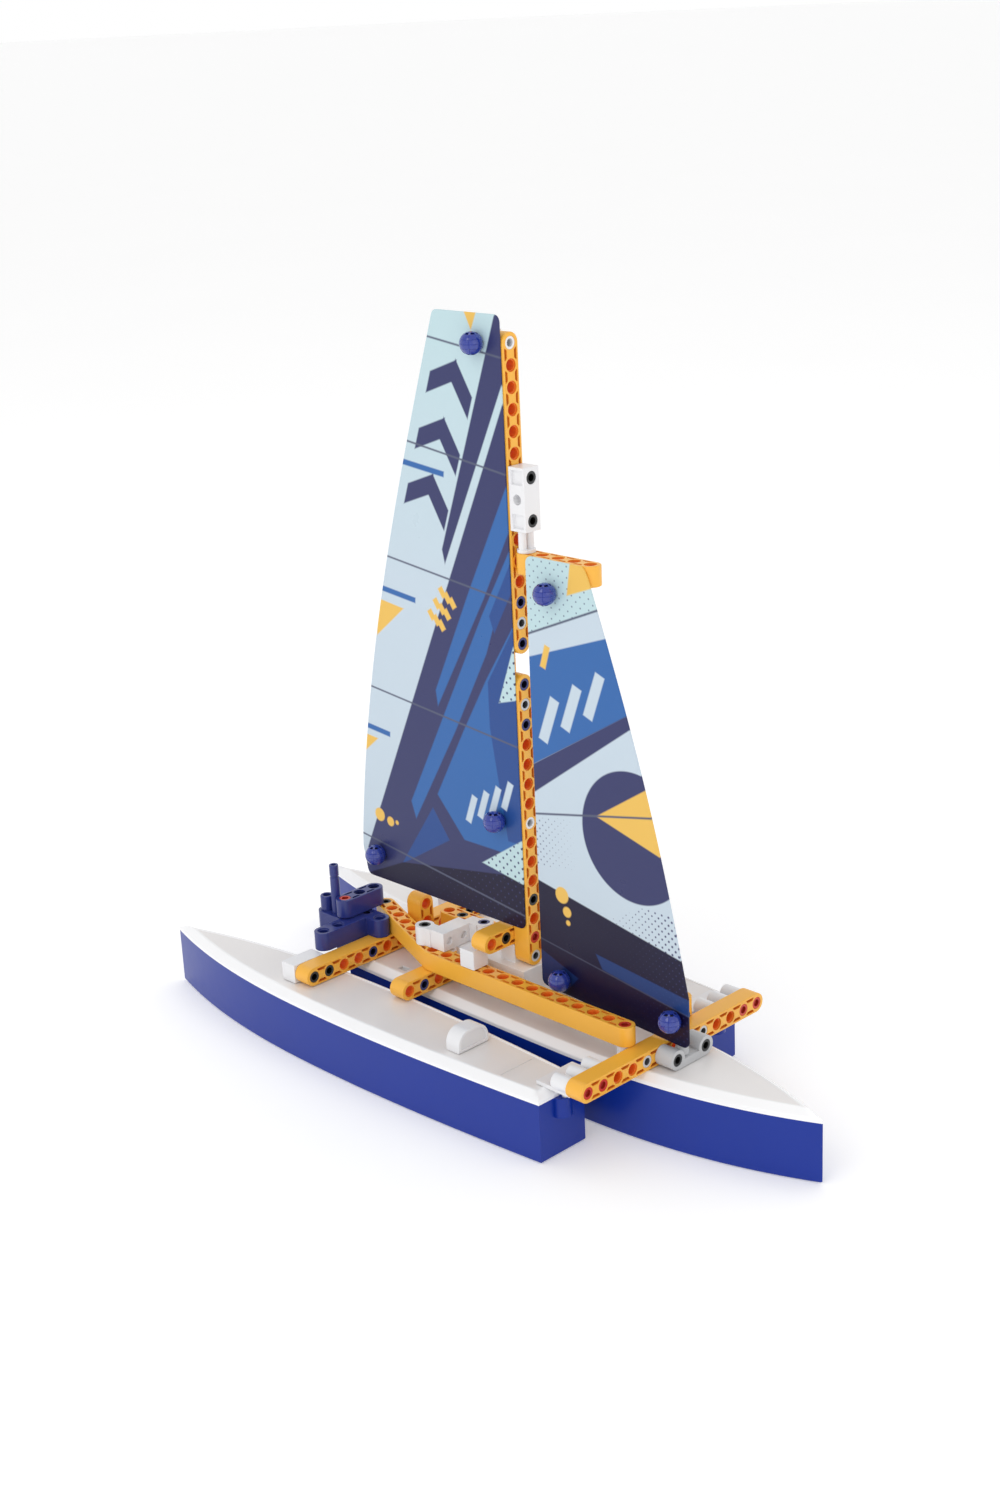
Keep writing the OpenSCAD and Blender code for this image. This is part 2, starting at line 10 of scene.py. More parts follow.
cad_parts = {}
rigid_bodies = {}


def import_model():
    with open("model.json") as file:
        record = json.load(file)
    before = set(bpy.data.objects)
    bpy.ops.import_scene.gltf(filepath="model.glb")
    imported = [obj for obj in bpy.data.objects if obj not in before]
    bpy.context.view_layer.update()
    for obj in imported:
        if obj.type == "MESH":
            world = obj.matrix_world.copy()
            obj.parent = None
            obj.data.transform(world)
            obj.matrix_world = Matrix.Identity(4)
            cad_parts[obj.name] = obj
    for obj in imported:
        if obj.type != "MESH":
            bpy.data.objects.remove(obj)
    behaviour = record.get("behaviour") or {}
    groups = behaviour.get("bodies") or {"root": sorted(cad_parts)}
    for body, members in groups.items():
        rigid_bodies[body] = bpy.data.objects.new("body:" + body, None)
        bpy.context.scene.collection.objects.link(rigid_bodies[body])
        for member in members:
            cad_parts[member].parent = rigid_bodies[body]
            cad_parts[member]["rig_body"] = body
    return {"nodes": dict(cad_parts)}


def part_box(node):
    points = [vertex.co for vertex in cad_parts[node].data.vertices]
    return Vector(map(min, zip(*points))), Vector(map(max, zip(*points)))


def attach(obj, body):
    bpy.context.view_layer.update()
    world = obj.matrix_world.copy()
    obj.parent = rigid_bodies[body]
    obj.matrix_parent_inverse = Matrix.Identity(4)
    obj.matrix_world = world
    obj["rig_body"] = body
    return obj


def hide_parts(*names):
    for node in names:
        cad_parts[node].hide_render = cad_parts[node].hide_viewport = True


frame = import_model()

bl_info = {
    "name": "Sailing trimaran",
    "version": (1, 0, 0),
    "blender": (4, 5, 0),
    "location": "3D View > Sidebar > Trimaran",
    "description": "Detailed pieces, printed sails and stage of a construction-kit trimaran",
    "category": "Object",
}

MM = 0.001
WELD = 0.002 * MM  # points nearer than this are one point
SHARP = math.radians(38)  # edges that turn more than this are shaded as edges
STEP = 0.06 * MM  # height kept between two rings that would otherwise lie in one plane
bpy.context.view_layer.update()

# ---- Places, all taken from the frame ----

CROSS_LOW, CROSS_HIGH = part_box("bow_crossbeam")
SIDE = CROSS_HIGH.z - CROSS_LOW.z
CROSS_HOLES = 13
PITCH = (CROSS_HIGH.y - CROSS_LOW.y - SIDE) / (CROSS_HOLES - 1)
ORIGIN = (CROSS_LOW + CROSS_HIGH) / 2
HALF = SIDE / 2

# Hole places, counted in pitches from the middle of the bow crossbeam.
MAST_X = -9
STERN_X = -19
MID_X = -14
RAIL_X = -0.85
RAIL_Y = 2
RAIL_HOLES = 14
ARM_HOLES = 7
ARM_ANGLE = math.radians(22)
BEND_X = RAIL_X - (RAIL_HOLES - 1)
PORT_RAIL_HOLES = 17
MAST_HOLES = 15
MAST_FOOT = 2
UPPER_FOOT = 18
SPLICE_Z = 14
BRACE_Z = 3
BLOCK_Z = 24
JIB_HEAD_Z = 22
HELM_Y = -2
TILLER_X = -20.5
POCKETS_X = -16.6
FLOAT_SEAM_X = -4.5
MID_HOLES = 9
STERN_HOLES = 13
SPLICE_HOLES = 7
SHORT_BEAM_HOLES = 5
UPRIGHT_HOLES = 3
TILLER_HOLES = 3
AHEAD, ASIDE, UPWARD = (1, 0, 0), (0, 1, 0), (0, 0, 1)


def grid(x, y, z):
    """The point at a place given in hole pitches"""
    return ORIGIN + Vector((x, y, z)) * PITCH


def frame_at(place, across, up):
    """Matrix whose local X and Z run along the two given directions from a place"""
    u, w = Vector(across).normalized(), Vector(up).normalized()
    v = w.cross(u)
    return Matrix.Translation(place) @ Matrix((u, v, w)).transposed().to_4x4()


# ---- Sizes and colours that a user may change ----


def tone(red, green, blue):
    """Linear colour of a display colour given from 0 to 255"""
    return tuple(
        c / 12.92 if c <= 0.04045 else ((c + 0.055) / 1.055) ** 2.4
        for c in (red / 255, green / 255, blue / 255)
    )


def colour_property(name, description, default):
    return bpy.props.FloatVectorProperty(
        name=name, description=description, default=default, subtype="COLOR", size=3, min=0, max=1
    )


def length_property(name, description, default):
    return bpy.props.FloatProperty(
        name=name, description=description, default=default, unit="LENGTH", min=0
    )


class KitSizes(bpy.types.PropertyGroup):
    """Sizes of the moulded detail"""

    hole: length_property("Hole", "Radius of a beam hole", 2.5 * MM)
    recess: length_property("Recess", "Radius of the recess round a beam hole", 3.1 * MM)
    recess_depth: length_property("Recess depth", "Depth of that recess", 0.8 * MM)
    edge: length_property("Edge", "Rounding of a beam's edges", 0.4 * MM)
    pocket_length: length_property("Pocket length", "Long side of a pocket between holes", 6.6 * MM)
    pocket_width: length_property("Pocket width", "Width of a pocket between holes", 1.55 * MM)
    pocket_depth: length_property("Pocket depth", "Depth of a pocket between holes", 2.6 * MM)
    pin_bore: length_property("Pin bore", "Radius of the hollow in a pin", 1.75 * MM)
    block_edge: length_property("Block edge", "Rounding of the edges of blocks", 0.35 * MM)
    deck_lip: length_property("Deck lip", "Height of the upright edge of a deck", 2 * MM)
    deck_rim: length_property("Deck rim", "Width of the sloping rim of a deck", 4 * MM)
    hull_wall: length_property("Hull wall", "Thickness of the hull shells", 1.6 * MM)


class KitColours(bpy.types.PropertyGroup):
    """Colours of the mouldings and the print"""

    hull: colour_property("Hull", "Blue of the hull shells", tone(8, 46, 148))
    deck: colour_property("Deck", "White of the decks", tone(252, 252, 253))
    panel: colour_property("Deck panel", "Warm white of the deck panels", tone(236, 233, 232))
    beam: colour_property("Beam", "Yellow-orange of the beams", tone(250, 184, 62))
    # Painted shade and glow: the colour laid into the beams' holes and pockets, where light passes
    # through the moulding
    beam_hollow_shade: colour_property("Beam hollows", "Deeper orange inside the beams", tone(224, 92, 20))
    white: colour_property("White blocks", "White of the small blocks", tone(238, 238, 240))
    grey: colour_property("Grey blocks", "Light grey of two blocks", tone(196, 197, 199))
    helm: colour_property("Helm", "Dark blue of the helm", tone(38, 50, 124))
    knob: colour_property("Knob", "Blue of the ball knobs", tone(34, 54, 150))
    black: colour_property("Black pins", "Black of the pins", tone(40, 42, 44))
    navy_pin: colour_property("Blue pins", "Dark blue of the pins", tone(44, 50, 118))
    grey_pin: colour_property("Grey pins", "Light grey of the pins", tone(205, 205, 206))
    red: colour_property("Red pins", "Red of the pins", tone(206, 52, 26))
    pale: colour_property("Pale print", "Ground of the sails", tone(200, 215, 227))
    pale_top: colour_property("Teal print", "Ground at the sail heads", tone(193, 220, 225))
    slate: colour_property("Slate print", "Wide bands on the sails", tone(54, 58, 104))
    mid: colour_property("Mid print", "Blue fields on the sails", tone(50, 104, 172))
    mid_deep: colour_property("Deep print", "Deeper blue fields on the sails", tone(38, 76, 144))
    navy: colour_property("Navy print", "Dark foot of the sails", tone(18, 12, 50))
    yellow: colour_property("Yellow print", "Yellow marks on the sails", tone(238, 192, 92))
    seam: colour_property("Seam print", "Grey seam lines on the sails", tone(86, 92, 116))


# ---- Shader helpers ----


class Amount:
    """A value that changes over a surface; arithmetic on it adds Math nodes"""

    def __init__(self, shader, socket):
        self.shader = shader
        self.socket = socket

    def maths(self, operation, *others, clamp=False):
        """The result of one Math node on this value and others"""
        settings = {"operation": operation, "use_clamp": clamp}
        node = self.shader.add("ShaderNodeMath", settings, dict(enumerate((self, *others))))
        return Amount(self.shader, node.outputs[0])

    def __add__(self, other):
        return self.maths("ADD", other)

    def __radd__(self, other):
        return self.maths("ADD", other)

    def __sub__(self, other):
        return self.maths("SUBTRACT", other)

    def __rsub__(self, other):
        return (self * -1) + other

    def __mul__(self, other):
        return self.maths("MULTIPLY", other)

    def __rmul__(self, other):
        return self.maths("MULTIPLY", other)

    def __truediv__(self, other):
        return self.maths("DIVIDE", other)

    def __rtruediv__(self, other):
        return self.maths("POWER", -1) * other

    def __neg__(self):
        return self * -1

    def __abs__(self):
        return self.maths("ABSOLUTE")

    def least(self, other):
        return self.maths("MINIMUM", other)

    def most(self, other):
        return self.maths("MAXIMUM", other)


class Shader:
    """One material's nodes; every node but those of arithmetic comes from add"""

    def __init__(self, name):
        self.material = bpy.data.materials.new(name)
        self.material.use_nodes = True
        self.tree = self.material.node_tree
        self.tree.nodes.clear()
        self.place = self.add("ShaderNodeTexCoord").outputs["Object"]

    def add(self, kind, settings=None, inputs=None):
        """Adds a node, sets its settings and then fills or links its sockets"""
        node = self.tree.nodes.new(kind)
        for key, value in (settings or {}).items():
            setattr(node, key, value)
        for key, value in (inputs or {}).items():
            if isinstance(value, Amount):
                value = value.socket
            if isinstance(value, bpy.types.NodeSocket):
                self.tree.links.new(value, node.inputs[key])
            else:
                node.inputs[key].default_value = value
        return node

    def axes(self):
        """The three coordinates as separate values"""
        parts = self.add("ShaderNodeSeparateXYZ", {}, {0: self.place})
        return [Amount(self, parts.outputs[i]) for i in range(3)]

    def noise(self, scale, detail=2.0, roughness=0.5):
        inputs = {"Vector": self.place, "Scale": scale, "Detail": detail, "Roughness": roughness}
        node = self.add("ShaderNodeTexNoise", {}, inputs)
        return Amount(self, node.outputs[0])

    def attribute(self, name):
        """A value stored in the mesh"""
        node = self.add("ShaderNodeAttribute", {"attribute_name": name})
        return Amount(self, node.outputs["Fac"])

    def mix(self, first, second, share):
        """Colour between two colours"""
        inputs = {0: share}
        for key, colour in ((6, first), (7, second)):
            is_socket = isinstance(colour, bpy.types.NodeSocket)
            inputs[key] = colour if is_socket else (*colour, 1)
        settings = {"data_type": "RGBA", "blend_type": "MIX", "clamp_factor": True}
        return self.add("ShaderNodeMix", settings, inputs).outputs[2]

    def bump(self, height, strength, distance):
        inputs = {"Height": height, "Strength": strength, "Distance": distance}
        return self.add("ShaderNodeBump", {}, inputs).outputs[0]

    def finish(
        self, colour, roughness, normal, coat=0.0, coat_roughness=0.1, specular=0.5, glow=None
    ):
        """Closes the material with its surface and its output"""
        inputs = {
            "Base Color": colour,
            "Roughness": roughness,
            "Normal": normal,
            "Coat Weight": coat,
            "Coat Roughness": coat_roughness,
            "Specular IOR Level": specular,
        }
        if glow is not None:
            is_socket = isinstance(glow, bpy.types.NodeSocket)
            inputs["Emission Color"] = glow if is_socket else (*glow, 1)
            inputs["Emission Strength"] = 1.0
        surface = self.add("ShaderNodeBsdfPrincipled", {}, inputs)
        self.add("ShaderNodeOutputMaterial", {}, {"Surface": surface.outputs[0]})
        return self.material


def shaded(colour, share):
    """A colour made darker or lighter"""
    return tuple(min(1.0, c * share) for c in colour)


FLOW_SCALE, SPECK_SCALE, PATCH_SCALE = 45.0, 2200.0, 160.0
PATCH_GLOSS, HOLLOW_GLOSS = 0.10, 0.12
GRAIN_DEPTH = 0.02 * MM
# Painted shade: hollows with no deep colour given are darkened to this share of the plastic's
# colour
HOLLOW_SHADE = 0.45
GLOW_START = 0.72  # share of the painted hollow shade at which painted glow begins to show through
GLOW_GAIN = 3.6


def plastic(
    name, colour, roughness, grain=0.12, deep=None, coat=0.0, flow=0.05, glow=None, ripple=0.6,
    specular=0.5,
):
    """Moulded plastic with flow marks, uneven gloss and a fine grain

    deep is the painted shade of its hollows, and glow is painted light for the light that passes
    into them.
    """
    found = bpy.data.materials.get(name)
    if found:
        return found
    shader = Shader(name)
    cloud = shader.noise(FLOW_SCALE, 3.0)
    speck = shader.noise(SPECK_SCALE, 2.0)
    patch = shader.noise(PATCH_SCALE, 4.0, 0.6)
    base = shader.mix(shaded(colour, 1 - flow), shaded(colour, 1 + flow), cloud)
    recess = shader.attribute("recess")
    # Painted shade: the recess layer darkens the hollows towards deep
    hollow = deep or shaded(colour, HOLLOW_SHADE)
    base = shader.mix(base, hollow, recess)
    gloss = roughness + (patch - 0.5) * PATCH_GLOSS + recess * HOLLOW_GLOSS
    normal = shader.bump(speck + patch * ripple, grain, GRAIN_DEPTH)
    # Painted light: the deepest hollows glow, standing in for light that passes through the
    # moulding
    if glow:
        passed = (recess - GLOW_START).maths("MULTIPLY", GLOW_GAIN, clamp=True)
        glow = shader.mix((0, 0, 0), glow, passed)
    return shader.finish(base, gloss, normal, coat, specular=specular, glow=glow)


# ---- Mesh helpers ----


MITRE_LIMIT = 0.35
NEARLY_STRAIGHT = math.radians(80)


def inset_outline(points, distance):
    """The outline moved inwards, with mitred corners; points run anticlockwise"""
    if not distance:
        return [Vector(p) for p in points]
    moved = []
    for i, here in enumerate(points):
        before, after = points[i - 1], points[(i + 1) % len(points)]
        first = (here - before).normalized()
        second = (after - here).normalized()
        inward = Vector((-first.y, first.x)), Vector((-second.y, second.x))
        scale = distance / max(MITRE_LIMIT, 1 + inward[0].dot(inward[1]))
        moved.append(here + (inward[0] + inward[1]) * scale)
    return moved


def rounded(corners, radius, steps=5):
    """Anticlockwise outline with its corners rounded"""
    points = []
    for i, corner in enumerate(corners):
        before = (corners[i - 1] - corner).normalized()
        after = (corners[(i + 1) % len(corners)] - corner).normalized()
        half = before.angle(after) / 2
        if half > NEARLY_STRAIGHT:
            points.append(corner.copy())
            continue
        reach = radius / math.tan(half)
        centre = corner + (before + after).normalized() * (radius / math.sin(half))
        start, end = corner + before * reach - centre, corner + after * reach - centre
        turn = start.angle_signed(end)
        for k in range(steps + 1):
            points.append(centre + Matrix.Rotation(-turn * k / steps, 2) @ start)
    return points


def arc(centre, radius, start, sweep, steps, count):
    """Points along an arc, of which a full turn leaves out the last"""
    angles = (start + sweep * k / steps for k in range(count))
    return [centre + radius * Vector((math.cos(a), math.sin(a))) for a in angles]


def circle(centre, radius, steps=20):
    """Anticlockwise points round a full circle"""
    return arc(centre, radius, 0, math.tau, steps, steps)


def stroke(path, radius, steps=12):
    """Anticlockwise outline of a bar that follows a path, with round ends"""
    first = path[1] - path[0]
    last = path[-1] - path[-2]
    start = math.atan2(first.y, first.x)
    end = math.atan2(last.y, last.x)
    right, left = [], []
    for before, here, after in zip(path, path[1:], path[2:]):
        a, b = (here - before).normalized(), (after - here).normalized()
        out = Vector((a.y, -a.x)) + Vector((b.y, -b.x))
        out *= radius / (1 + a.dot(b))
        right.append(here + out)
        left.append(here - out)
    cap = arc(path[-1], radius, end - math.pi / 2, math.pi, steps, steps + 1)
    tail = arc(path[0], radius, start + math.pi / 2, math.pi, steps, steps + 1)
    return right + cap + left[::-1] + tail


def ring(bm, points, height):
    """A closed ring of edges at one height"""
    corners = [bm.verts.new((p.x, p.y, height)) for p in points]
    return [bm.edges.new((corners[i - 1], corners[i])) for i in range(len(corners))]


def walls(bm, rings):
    """Faces between each ring and the next"""
    for lower, upper in zip(rings, rings[1:]):
        bmesh.ops.bridge_loops(bm, edges=lower + upper)


def fill(bm, edges, material=0):
    """Closes an outline, round any openings whose rims are among the edges"""
    made = bmesh.ops.triangle_fill(bm, use_beauty=True, use_dissolve=False, edges=edges)
    for face in made["geom"]:
        if isinstance(face, bmesh.types.BMFace):
            face.material_index = material


def mark_recess(bm, elements, share=1):
    """Tells the material how deep in a hollow the corners of edges or faces lie; it paints shade
    there
    """
    layer = bm.verts.layers.float["recess"]
    for element in elements:
        for corner in element.verts:
            corner[layer] = share


def opening(bm, outline, levels, closed):
    """A hole or pocket: levels are (height, inset, share of the painted shade of hollows)"""
    rings = []
    for height, inset, share in levels:
        edges = ring(bm, inset_outline(outline, inset), height)
        mark_recess(bm, edges, share)
        rings.append(edges)
    walls(bm, rings)
    if closed:
        fill(bm, rings[-1])
    return rings[0]


def bar_rings(bm, outline, half, edge):
    """Upper half of a flat bar or sheet with rounded edges; gives the border of its top"""
    levels = [(0, 0), (half - edge, 0), (half - edge * 0.3, edge * 0.3), (half, edge)]
    rings = [ring(bm, inset_outline(outline, inset), height) for height, inset in levels]
    walls(bm, rings)
    return list(rings[-1])


def new_mesh():
    """An empty mesh with the layer that mark_recess fills"""
    bm = bmesh.new()
    bm.verts.layers.float.new("recess")
    return bm


def everything(bm):
    """All elements of a mesh, for the operators that cut or copy it"""
    return bm.verts[:] + bm.edges[:] + bm.faces[:]


def mirrored(bm):
    """Adds the lower half of what was built above the plane Z = 0"""
    bmesh.ops.mirror(bm, geom=everything(bm), axis="Z", merge_dist=WELD)


def inset(bm, faces, thickness, depth):
    """Sinks or raises a field of faces inside a narrow border"""
    bmesh.ops.inset_region(
        bm, faces=faces, thickness=thickness, depth=depth, use_even_offset=True, use_boundary=True,
    )


def cut_off(bm, geometry, place, direction):
    """Removes what lies past a plane and closes the cut"""
    cut = bmesh.ops.bisect_plane(
        bm, geom=geometry, dist=0, plane_co=place, plane_no=direction, clear_outer=True,
    )
    rim = [g for g in cut["geom_cut"] if isinstance(g, bmesh.types.BMEdge)]
    bmesh.ops.triangle_fill(bm, use_beauty=True, use_dissolve=False, edges=rim)


def publish(bm, node, materials, normals=True):
    """Makes the mesh a piece that stands for its CAD node"""
    bmesh.ops.remove_doubles(bm, verts=bm.verts, dist=WELD)
    if normals:
        bmesh.ops.recalc_face_normals(bm, faces=bm.faces)
    name = "fine_" + node
    mesh = bpy.data.meshes.new(name)
    bm.to_mesh(mesh)
    bm.free()
    for material in materials:
        mesh.materials.append(material)
    mesh.shade_smooth()
    mesh.set_sharp_from_angle(angle=SHARP)
    piece = bpy.data.objects.new(name, mesh)
    bpy.context.scene.collection.objects.link(piece)
    even = piece.modifiers.new("Even shading", "WEIGHTED_NORMAL")
    even.keep_sharp = True
    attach(piece, frame["nodes"][node]["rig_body"])
    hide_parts(node)
    return piece


FLAT = math.radians(1)


def softened(node, material, width, tweak=None):
    """A welded copy of a CAD node with its edges rounded, after an optional change to its mesh"""
    bm = new_mesh()
    bm.from_mesh(frame["nodes"][node].data)
    bmesh.ops.remove_doubles(bm, verts=bm.verts, dist=5 * WELD)
    bmesh.ops.dissolve_limit(bm, angle_limit=FLAT, verts=bm.verts, edges=bm.edges)
    if tweak:
        tweak(bm)
    edges = [e for e in bm.edges if len(e.link_faces) == 2 and e.calc_face_angle(0) > SHARP]
    bmesh.ops.bevel(
        bm, geom=edges, offset=width, offset_type="OFFSET", affect="EDGES", segments=2,
        profile=0.5, material=-1, clamp_overlap=True, loop_slide=True,
    )
    for face in bm.faces:
        face.material_index = 0
    return publish(bm, node, [material], normals=False)


# ---- Perforated beams ----

LIP = 0.15 * MM
POCKET_TAPER = 0.27
POCKET_EDGE = 1.05 * MM
POCKET_CORNER = 0.3 * MM


def socket_levels(sizes):
    """The stepped hole of a beam, from its face to the beam's middle"""
    rim = sizes.recess - sizes.hole
    # The third numbers are painted shade, deeper down the hole
    return [
        (HALF, 0, 0.0),
        (HALF - LIP, LIP / 2, 0.35),
        (HALF - sizes.recess_depth, LIP / 2, 0.8),
        (HALF - sizes.recess_depth - STEP, rim, 0.85),
        (0, rim, 1.0),
    ]


def pocket_outline(centre, along, side, sizes):
    """A pocket beside the web between two holes; side is +1 or -1 across the bar"""
    across = Vector((-along.y, along.x)) * side
    outer = centre + across * (HALF - POCKET_EDGE)
    inner = outer - across * sizes.pocket_width
    long, short = sizes.pocket_length / 2, sizes.pocket_length * POCKET_TAPER
    corners = [
        outer + along * long, outer - along * long, inner - along * short, inner + along * short,
    ]
    if side < 0:
        corners.reverse()
    return rounded(corners, POCKET_CORNER, 2)


def kit_beam(context, node, path, matrix, material=None):
    """A perforated beam whose holes follow a path, given in pitches in the beam's own plane"""
    sizes = context.scene.kit_sizes
    bm = new_mesh()
    path = [Vector(p) * PITCH for p in path]
    borders = bar_rings(bm, stroke(path, HALF), HALF, sizes.edge)
    for place in holes_on(path):
        borders += opening(bm, circle(place, sizes.recess), socket_levels(sizes), closed=False)
    depth = HALF - sizes.pocket_depth
    # The third numbers are painted shade, deeper down each pocket
    levels = [(HALF, 0, 0.1), (HALF - 0.2 * MM, 0.1 * MM, 0.5), (depth, 0.2 * MM, 0.7)]
    for start, end in zip(path, path[1:]):
        along = (end - start).normalized()
        for k in range(round((end - start).length / PITCH)):
            centre = start + along * (k + 0.5) * PITCH
            for side in (-1, 1):
                outline = pocket_outline(centre, along, side, sizes)
                borders += opening(bm, outline, levels, closed=True)
    fill(bm, borders)
    mirrored(bm)
    bmesh.ops.transform(bm, matrix=matrix, verts=bm.verts)
    return publish(bm, node, [material or beam_material(context)])


def holes_on(path):
    """Places one pitch apart along a path"""
    points = [path[0]]
    for start, end in zip(path, path[1:]):
        along = (end - start).normalized()
        count = round((end - start).length / PITCH)
        points += [start + along * (k + 1) * PITCH for k in range(count)]
    return points


# Strength of the painted glow in the beam hollows, as a share of their painted shade colour
BEAM_GLOW = 0.12


def beam_material(context):
    colours = context.scene.kit_colours
    # Painted shade and painted glow in the holes and pockets of the beams
    deep = colours.beam_hollow_shade
    glow = shaded(deep, BEAM_GLOW)
    return plastic(
        "Yellow-orange moulding", colours.beam, 0.36, grain=0.14, deep=deep, coat=0.15, glow=glow
    )


def white_material(context):
    white = context.scene.kit_colours.white
    return plastic("White moulding", white, 0.30, grain=0.10, coat=0.2, flow=0.02)


def grey_material(context):
    grey = context.scene.kit_colours.grey
    return plastic("Light grey moulding", grey, 0.34, grain=0.10, coat=0.1, flow=0.03)


def helm_material(context):
    return plastic("Dark blue moulding", context.scene.kit_colours.helm, 0.30, coat=0.2)


def black_material(context):
    black = context.scene.kit_colours.black
    # deep is the painted shade in the pins' bores
    return plastic("Black pin", black, 0.38, grain=0.1, deep=tone(6, 6, 7), coat=0.1)


# ---- Hulls and decks ----

OUTLINE_STEPS = 96
TIP_SPACING = 1.15  # above 1, the outline's points crowd towards the sharp tip
TIP_RAKE = 2.2
STERN_CURVE = 1.7
THINNEST = 0.05 * MM


def hull_half(t, half, end_half, peak, fullness):
    """Half width of a hull at a share t of its length from the sharp tip"""
    if t < peak:
        return half * (1 - (1 - t / peak) ** fullness)
    return half - (half - end_half) * ((t - peak) / (1 - peak)) ** STERN_CURVE


class HullForm:
    """Outline of one hull, measured from its CAD node"""

    def __init__(self, node, end_share, peak, fullness, tip_forward):
        low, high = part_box(node)
        self.length = high.x - low.x
        self.half = (high.y - low.y) / 2
        self.middle = (high.y + low.y) / 2
        self.shape = end_share, peak, fullness
        self.tip = high.x if tip_forward else low.x
        self.heading = -1 if tip_forward else 1

    def outline(self, inset):
        """The hull's outline moved inwards, anticlockwise from above"""
        end_share, peak, fullness = self.shape
        start = inset * TIP_RAKE
        side = []
        for k in range(1, OUTLINE_STEPS + 1):
            along = start + (self.length - start - inset) * (k / OUTLINE_STEPS) ** TIP_SPACING
            half = hull_half(
                along / self.length, self.half, self.half * end_share, peak, fullness
            )
            side.append((along, max(THINNEST, half - inset)))
        points = [(start, 0)] + side + [(x, -y) for x, y in reversed(side)]
        placed = [
            Vector((self.tip + self.heading * x, self.middle + y)) for x, y in points
        ]
        return placed if self.heading < 0 else placed[::-1]


def centre_form():
    return HullForm("centre_hull", 0.91, 0.5, 2.45, True)


def float_form(side):
    form = HullForm("float_hull_" + side, 0.71, 0.57, 2.6, False)
    deck_low, deck_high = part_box("float_deck_" + side)
    form.length = deck_high.x - deck_low.x
    form.half = (deck_high.y - deck_low.y) / 2
    return form


def hull_shell(context, node, form, boss=False):
    """An open shell with a rounded bottom edge and a wall of even thickness"""
    sizes = context.scene.kit_sizes
    low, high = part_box(node)
    wall = sizes.hull_wall
    depth = high.z
    bm = new_mesh()
    levels = [
        (low.z, 1.1 * MM), (low.z + 0.25 * MM, 0.45 * MM), (low.z + 0.9 * MM, 0),
        (depth, 0), (depth - STEP, wall), (low.z + wall, wall),
    ]
    rings = [ring(bm, form.outline(inset), height) for height, inset in levels]
    walls(bm, rings)
    fill(bm, rings[0])
    fill(bm, rings[-1])
    if boss:
        add_boss(bm, form, depth)
    material = plastic(
        "Blue hull shell", context.scene.kit_colours.hull, 0.30, grain=0.012, coat=0.06, flow=0.03,
        ripple=0.05, specular=0.32,
    )
    return publish(bm, node, [material])


BOSS_ROOT = 0.8 * MM


def add_boss(bm, form, depth):
    """Round boss on the flat front of a float"""
    front = form.tip + form.length
    centre = Vector((front, form.middle, depth - PITCH / 2))
    made = bmesh.ops.create_cone(
        bm, cap_ends=True, cap_tris=False, segments=40, radius1=PITCH / 2, radius2=PITCH / 2,
        depth=PITCH, matrix=Matrix.Translation(centre),
    )
    corners = made["verts"]
    faces = list({f for v in corners for f in v.link_faces})
    edges = list({e for v in corners for e in v.link_edges})
    cut_off(bm, corners + edges + faces, (front - BOSS_ROOT, 0, 0), (-1, 0, 0))


PANEL_DROP = 0.3 * MM
CORNER_SHARE = 0.2  # a pocket's corner radius as a share of its short side


def deck(context, node, form, pockets):
    """A deck: upright lip, sloping glossy rim and a matt panel a little below it"""
    sizes = context.scene.kit_sizes
    colours = context.scene.kit_colours
    low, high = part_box(node)
    base, top = low.z, high.z
    lip, rim = base + sizes.deck_lip, sizes.deck_rim
    floor = top - PANEL_DROP
    bm = new_mesh()
    levels = [
        (base, 0), (lip - 0.5 * MM, 0), (lip - 0.1 * MM, 0.2 * MM), (lip + 0.2 * MM, 0.6 * MM),
        (top - 0.25 * MM, rim - 0.5 * MM), (top, rim), (top - STEP, rim + 0.9 * MM),
        (floor, rim + 1.1 * MM),
    ]
    rings = [ring(bm, form.outline(inset), height) for height, inset in levels]
    walls(bm, rings)
    fill(bm, rings[0])
    borders = list(rings[-1])
    for centre, size, depth in pockets:
        half = Vector(size) / 2
        signs = ((-1, -1), (1, -1), (1, 1), (-1, 1))
        corners = [centre + Vector((half.x * u, half.y * v)) for u, v in signs]
        outline = rounded(corners, min(size) * CORNER_SHARE, 2)
        small = min(0.1 * MM, min(size) * CORNER_SHARE)
        # The third numbers paint shade down the pocket walls
        pocket = [(floor, 0, 0.1), (floor - small, small / 2, 0.4), (floor - depth, small, 0.7)]
        borders += opening(bm, outline, pocket, closed=True)
    fill(bm, borders, 1)
    # deep is painted shade: the pockets and seam turn half as bright as the rim and panel
    glossy = plastic(
        "White deck rim", colours.deck, 0.16, grain=0.012, deep=shaded(colours.deck, 0.5),
        coat=0.3, flow=0.015, ripple=0.1,
    )
    matt = plastic(
        "Deck panel", colours.panel, 0.30, grain=0.14, deep=shaded(colours.panel, 0.5), coat=0.15,
        flow=0.02,
    )
    return publish(bm, node, [glossy, matt])


class TRIMARAN_OT_hulls(bpy.types.Operator):
    """Build the three hull shells"""

    bl_idname = "trimaran.hulls"
    bl_label = "Hull shells"

    def execute(self, context):
        hull_shell(context, "centre_hull", centre_form())
        for side in ("starboard", "port"):
            hull_shell(context, "float_hull_" + side, float_form(side), boss=True)
        return {"FINISHED"}


POCKET_Y = 1.6
POCKET_SIZE = 6 * MM, 4 * MM
POCKET_FLOOR = 1.2 * MM
SEAM_SIZE = 0.35 * MM, 22 * MM
SEAM_DEPTH = 0.5 * MM


